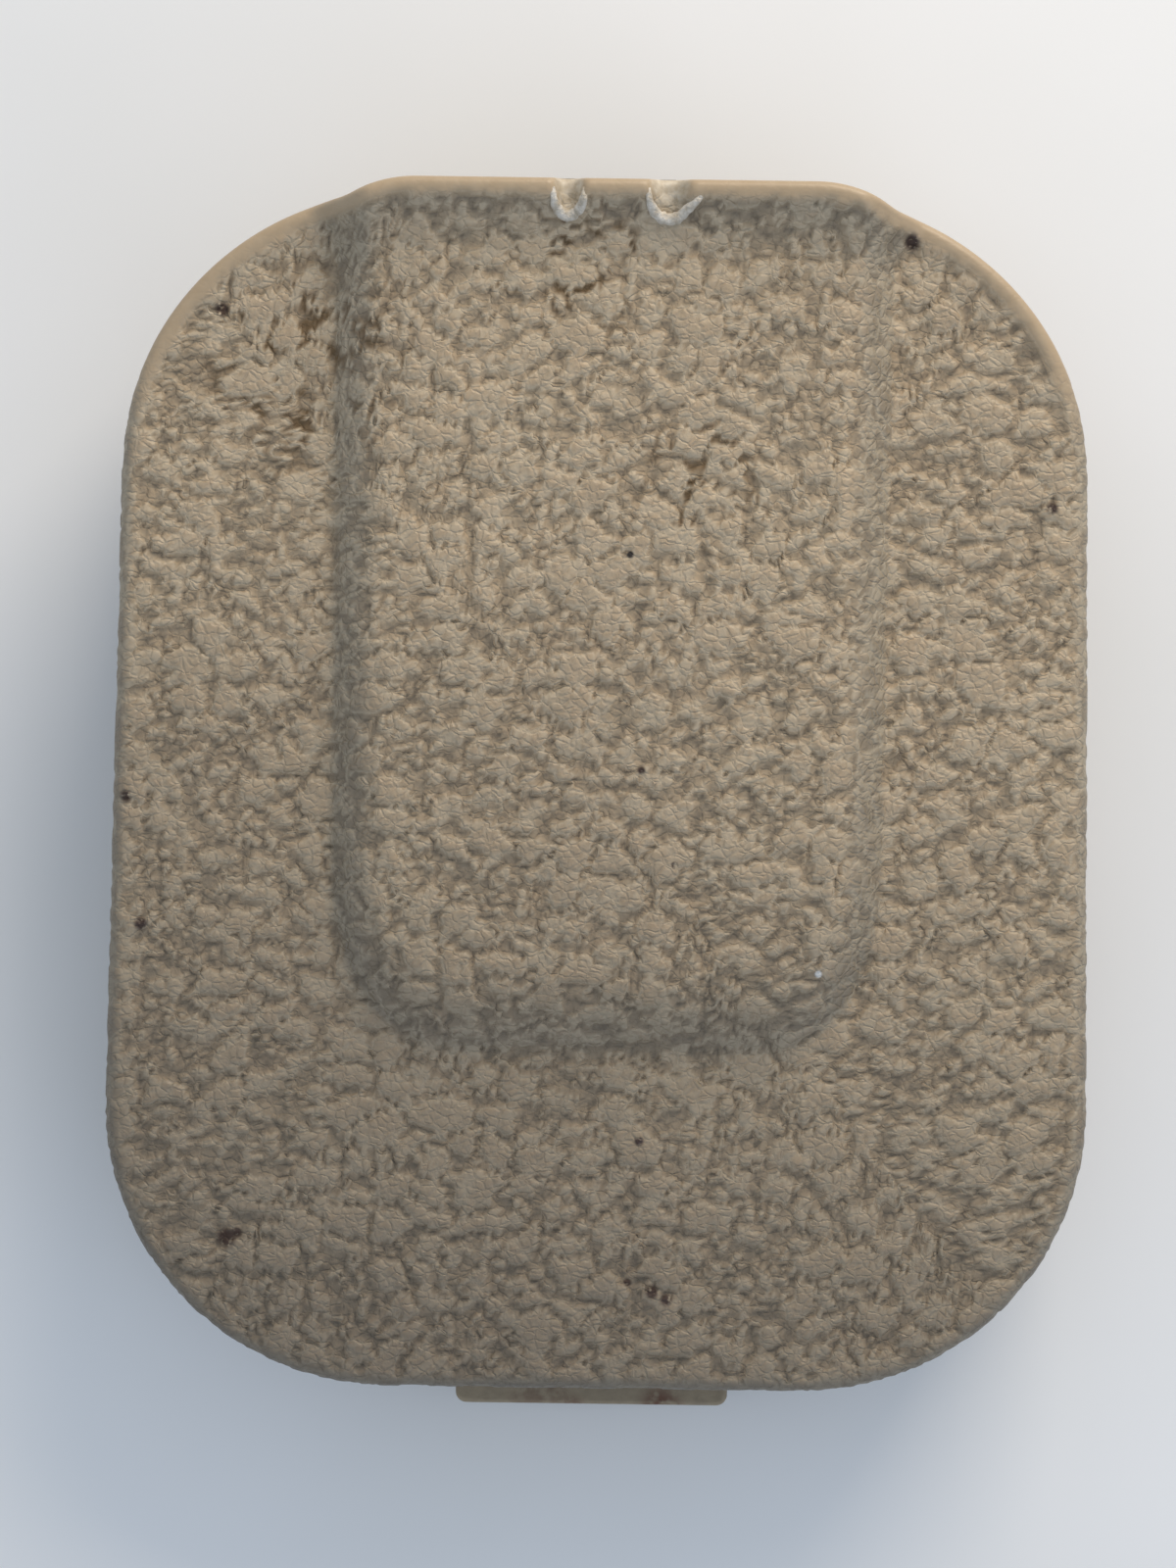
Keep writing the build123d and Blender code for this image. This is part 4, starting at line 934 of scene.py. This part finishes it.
# %% Steel finishes
def zinc_plate():
    """Zinc-plated mild steel sheet: cool grey with straw clouds, half matt."""
    material, tree, shader, place = new_material("Zinc-plated steel sheet", 0.36, metallic=1.0)
    cloud = speckle(tree, place, 7.0, 0.35, 0.65, detail=3.0)
    colour = coat(tree, linear("bfc3c6"), linear("c4bda6"), cloud)
    stains = speckle(tree, place, 2.0, 0.55, 0.75, detail=5.0)
    colour = coat(tree, colour, linear("77746c"), stains, 0.5)
    tree.links.new(colour, shader.inputs["Base Color"])
    vary_roughness(tree, shader, stains, 0.32, 0.6)
    raise_bumps(tree, shader, speckle(tree, place, 0.6, 0.3, 0.7), 0.01)
    return material


def nickel_screw():
    """Nickel-plated machine screws: warm bright metal, dulled in places by handling."""
    material, tree, shader, place = new_material("Nickel-plated steel", 0.26, metallic=1.0)
    dull = speckle(tree, place, 1.5, 0.4, 0.7, detail=4.0)
    colour = coat(tree, linear("cfc9bd"), linear("9a9387"), dull)
    tree.links.new(colour, shader.inputs["Base Color"])
    vary_roughness(tree, shader, dull, 0.22, 0.45)
    return material


def ground_pin():
    """Ground silver steel pins: bright, with grinding rings drawn coarse enough to show, 0.6 mm apart."""
    material, tree, shader, place = new_material("Ground silver steel", 0.2, metallic=1.0)
    wave = {"Vector": place, "Scale": per_metre(2.0), "Distortion": 1.5, "Detail": 3.0}
    ground = add(tree, "TexWave", wave, output="Fac")
    colour = coat(tree, linear("b9babb"), linear("cccccb"), ground)
    tree.links.new(colour, shader.inputs["Base Color"])
    vary_roughness(tree, shader, ground, 0.18, 0.32)
    return material


def spring_wire():
    """Hard-drawn spring steel: dark grey-brown oxide with brighter rubbed places."""
    material, tree, shader, place = new_material("Spring steel, oil-blacked", 0.38, metallic=1.0)
    rubbed = speckle(tree, place, 1.6, 0.45, 0.7, detail=3.0)
    colour = coat(tree, linear("5a5754"), linear("8b8986"), rubbed)
    tree.links.new(colour, shader.inputs["Base Color"])
    vary_roughness(tree, shader, rubbed, 0.45, 0.28)
    return material


print("steel finishes ready")

# %% [markdown]
# ## Brass, ceramic and the insulators
# The resistor's own materials are chosen for heat and current: a glazed ceramic block, brass contacts
# that have dulled, pressed carbon discs, and insulators of vulcanised fibre and phenolic. Most are
# dielectrics, whose highlights stay white, so their index of refraction and roughness set the gloss.

# %% Resistor finishes
def dulled_brass():
    """Brass, stamped and turned, gone brown where air has reached it."""
    material, tree, shader, place = new_material("Brass, dulled", 0.3, metallic=1.0)
    brown = speckle(tree, place, 2.4, 0.4, 0.7, detail=5.0)
    colour = coat(tree, linear("c9a75c"), linear("7d5f33"), brown)
    tree.links.new(colour, shader.inputs["Base Color"])
    vary_roughness(tree, shader, brown, 0.25, 0.5)
    return material


def glazed_ceramic():
    """Glazed steatite, IOR 1.55: cream and glossy, with pinholes and soft waves in the glaze."""
    material, tree, shader, place = new_material("Steatite ceramic, glazed", 0.14, ior=1.55)
    cream = speckle(tree, place, 9.0, 0.3, 0.7)
    colour = coat(tree, linear("ddd5c2"), linear("d2c8b1"), cream)
    pinholes = speckle(tree, place, 0.5, 0.68, 0.74)
    colour = coat(tree, colour, linear("6f6552"), pinholes, 0.6)
    tree.links.new(colour, shader.inputs["Base Color"])
    shader.inputs["Coat Weight"].default_value = 0.4
    shader.inputs["Coat Roughness"].default_value = 0.08
    raise_bumps(tree, shader, speckle(tree, place, 3.0, 0.2, 0.8), 0.05)
    return material


def vulcanised_fibre():
    """Red-brown vulcanised fibre, IOR 1.5: paper layers show as streaks along the sheet."""
    material, tree, shader, place = new_material("Vulcanised fibre", 0.55, ior=1.5)
    streak = add(tree, "Mapping", {"Vector": place, "Scale": (0.15, 1.0, 1.0)})
    fibres = speckle(tree, streak, 0.8, 0.3, 0.7, detail=4.0)
    tree.links.new(coat(tree, linear("5c3424"), linear("4a2a1f"), fibres), shader.inputs["Base Color"])
    raise_bumps(tree, shader, fibres, 0.03)
    return material


def phenolic():
    """Moulded phenolic, IOR 1.6: nearly black brown with a wood-flour mottle under a dull shine."""
    material, tree, shader, place = new_material("Phenolic, moulded", 0.3, ior=1.6)
    flour = speckle(tree, place, 0.9, 0.35, 0.7, detail=5.0)
    tree.links.new(coat(tree, linear("2c1a12"), linear("45291b"), flour), shader.inputs["Base Color"])
    vary_roughness(tree, shader, flour, 0.26, 0.42)
    return material


def pressed_carbon():
    """Pressed carbon: grey-black and matt, with a faint graphite glint between its grains."""
    material, tree, shader, place = new_material("Pressed carbon", 0.6, ior=1.9)
    grains = speckle(tree, place, 0.35, 0.4, 0.65, detail=4.0)
    tree.links.new(coat(tree, linear("1b1b1d"), linear("39393b"), grains), shader.inputs["Base Color"])
    vary_roughness(tree, shader, grains, 0.7, 0.4)
    raise_bumps(tree, shader, grains, 0.02)
    return material


print("resistor finishes ready")

# %% [markdown]
# ## Rubber and wire
# The feet, stops and gland are black rubber, which goes grey with bloom and picks up dust. The three
# wires have cotton braid over rubber, as old equipment does: two sets of threads cross at an angle,
# drawn here as two wave patterns that lean opposite ways. Real threads are about half a millimetre
# wide; these are 1.3 mm, because finer ones would not show.

# %% Rubber and braided wire
def bloomed_rubber():
    """Black rubber, IOR 1.52: matt, with grey bloom and dust."""
    material, tree, shader, place = new_material("Black rubber, bloomed", 0.7, ior=1.52)
    bloom = speckle(tree, place, 3.0, 0.35, 0.7, detail=5.0)
    tree.links.new(coat(tree, linear("232221"), linear("45423e"), bloom), shader.inputs["Base Color"])
    raise_bumps(tree, shader, speckle(tree, place, 0.5, 0.3, 0.7), 0.03)
    return material


def cotton_braid():
    """Waxed cotton braid over rubber: dull brown threads that cross."""
    material, tree, shader, place = new_material("Cotton braid, waxed", 0.75, ior=1.5)
    braid_size = 4.2                         # a wave node's bands are 0.314 of its size: here 1.32 mm
    lean = {"Scale": per_metre(braid_size), "Distortion": 0.4}
    ways = []
    for angle in (math.radians(40), math.radians(-40)):
        leaning = add(tree, "Mapping", {"Vector": place, "Rotation": (angle, angle, angle)})
        ways.append(add(tree, "TexWave", {"Vector": leaning, **lean}, output="Fac"))
    weave = add(tree, "Math", {0: ways[0], 1: ways[1]}, operation="MAXIMUM", output="Value")
    tree.links.new(coat(tree, linear("3b2e22"), linear("75624a"), weave), shader.inputs["Base Color"])
    shader.inputs["Sheen Weight"].default_value = 0.15
    raise_bumps(tree, shader, weave, 0.08)
    return material


# %% [markdown]
# ## Give every piece its finish
# The model's own pieces keep their shapes and only take a finish, so a table of finishes and names is
# enough: each finish is made once, and put in the first material slot of every piece that has it.

# %% Give every piece its finish
hands = ("left", "right")
finishes = {
    tray_abs: ["base_shell"],
    zinc_plate: ["stiffener_plate", "lever_bracket"],
    nickel_screw: ["stiffener_screws", "actuator_screw", "lock_nut", "block_screws", "bracket_screws",
                   "clamp_screws"],
    ground_pin: ["hinge_pin", "crank_pin"],
    spring_wire: ["pin_clip_" + hand for hand in hands],
    glazed_ceramic: ["rheostat_block"],
    vulcanised_fibre: ["insulating_sheet"],
    dulled_brass: ["contact_bridge", "bypass_contact", "terminal_screws",
                   *["end_contact_" + hand for hand in hands]],
    phenolic: ["bell_crank", "cord_clamp", "terminal_strip"],
    pressed_carbon: [kind + hand for kind in ("carbon_pile_", "plunger_") for hand in hands],
    bloomed_rubber: ["cord_gland", *["stop_bumper_" + hand for hand in hands],
                     *[f"foot_{hand}_{end}" for hand in hands for end in ("heel", "toe")]],
    cotton_braid: ["bypass_lead", *["pile_lead_" + hand for hand in hands]],
}
finished = set()
for make_finish, nodes in finishes.items():
    material = make_finish()
    for node in nodes:
        slots = frame["nodes"][node].data.materials
        if len(slots):
            slots[0] = material
        else:
            slots.append(material)
        finished.add(node)
    if make_finish is spring_wire:
        for spring in springs:
            spring.data.materials.append(material)
print("nodes without a finish:", sorted(set(frame["nodes"]) - finished))
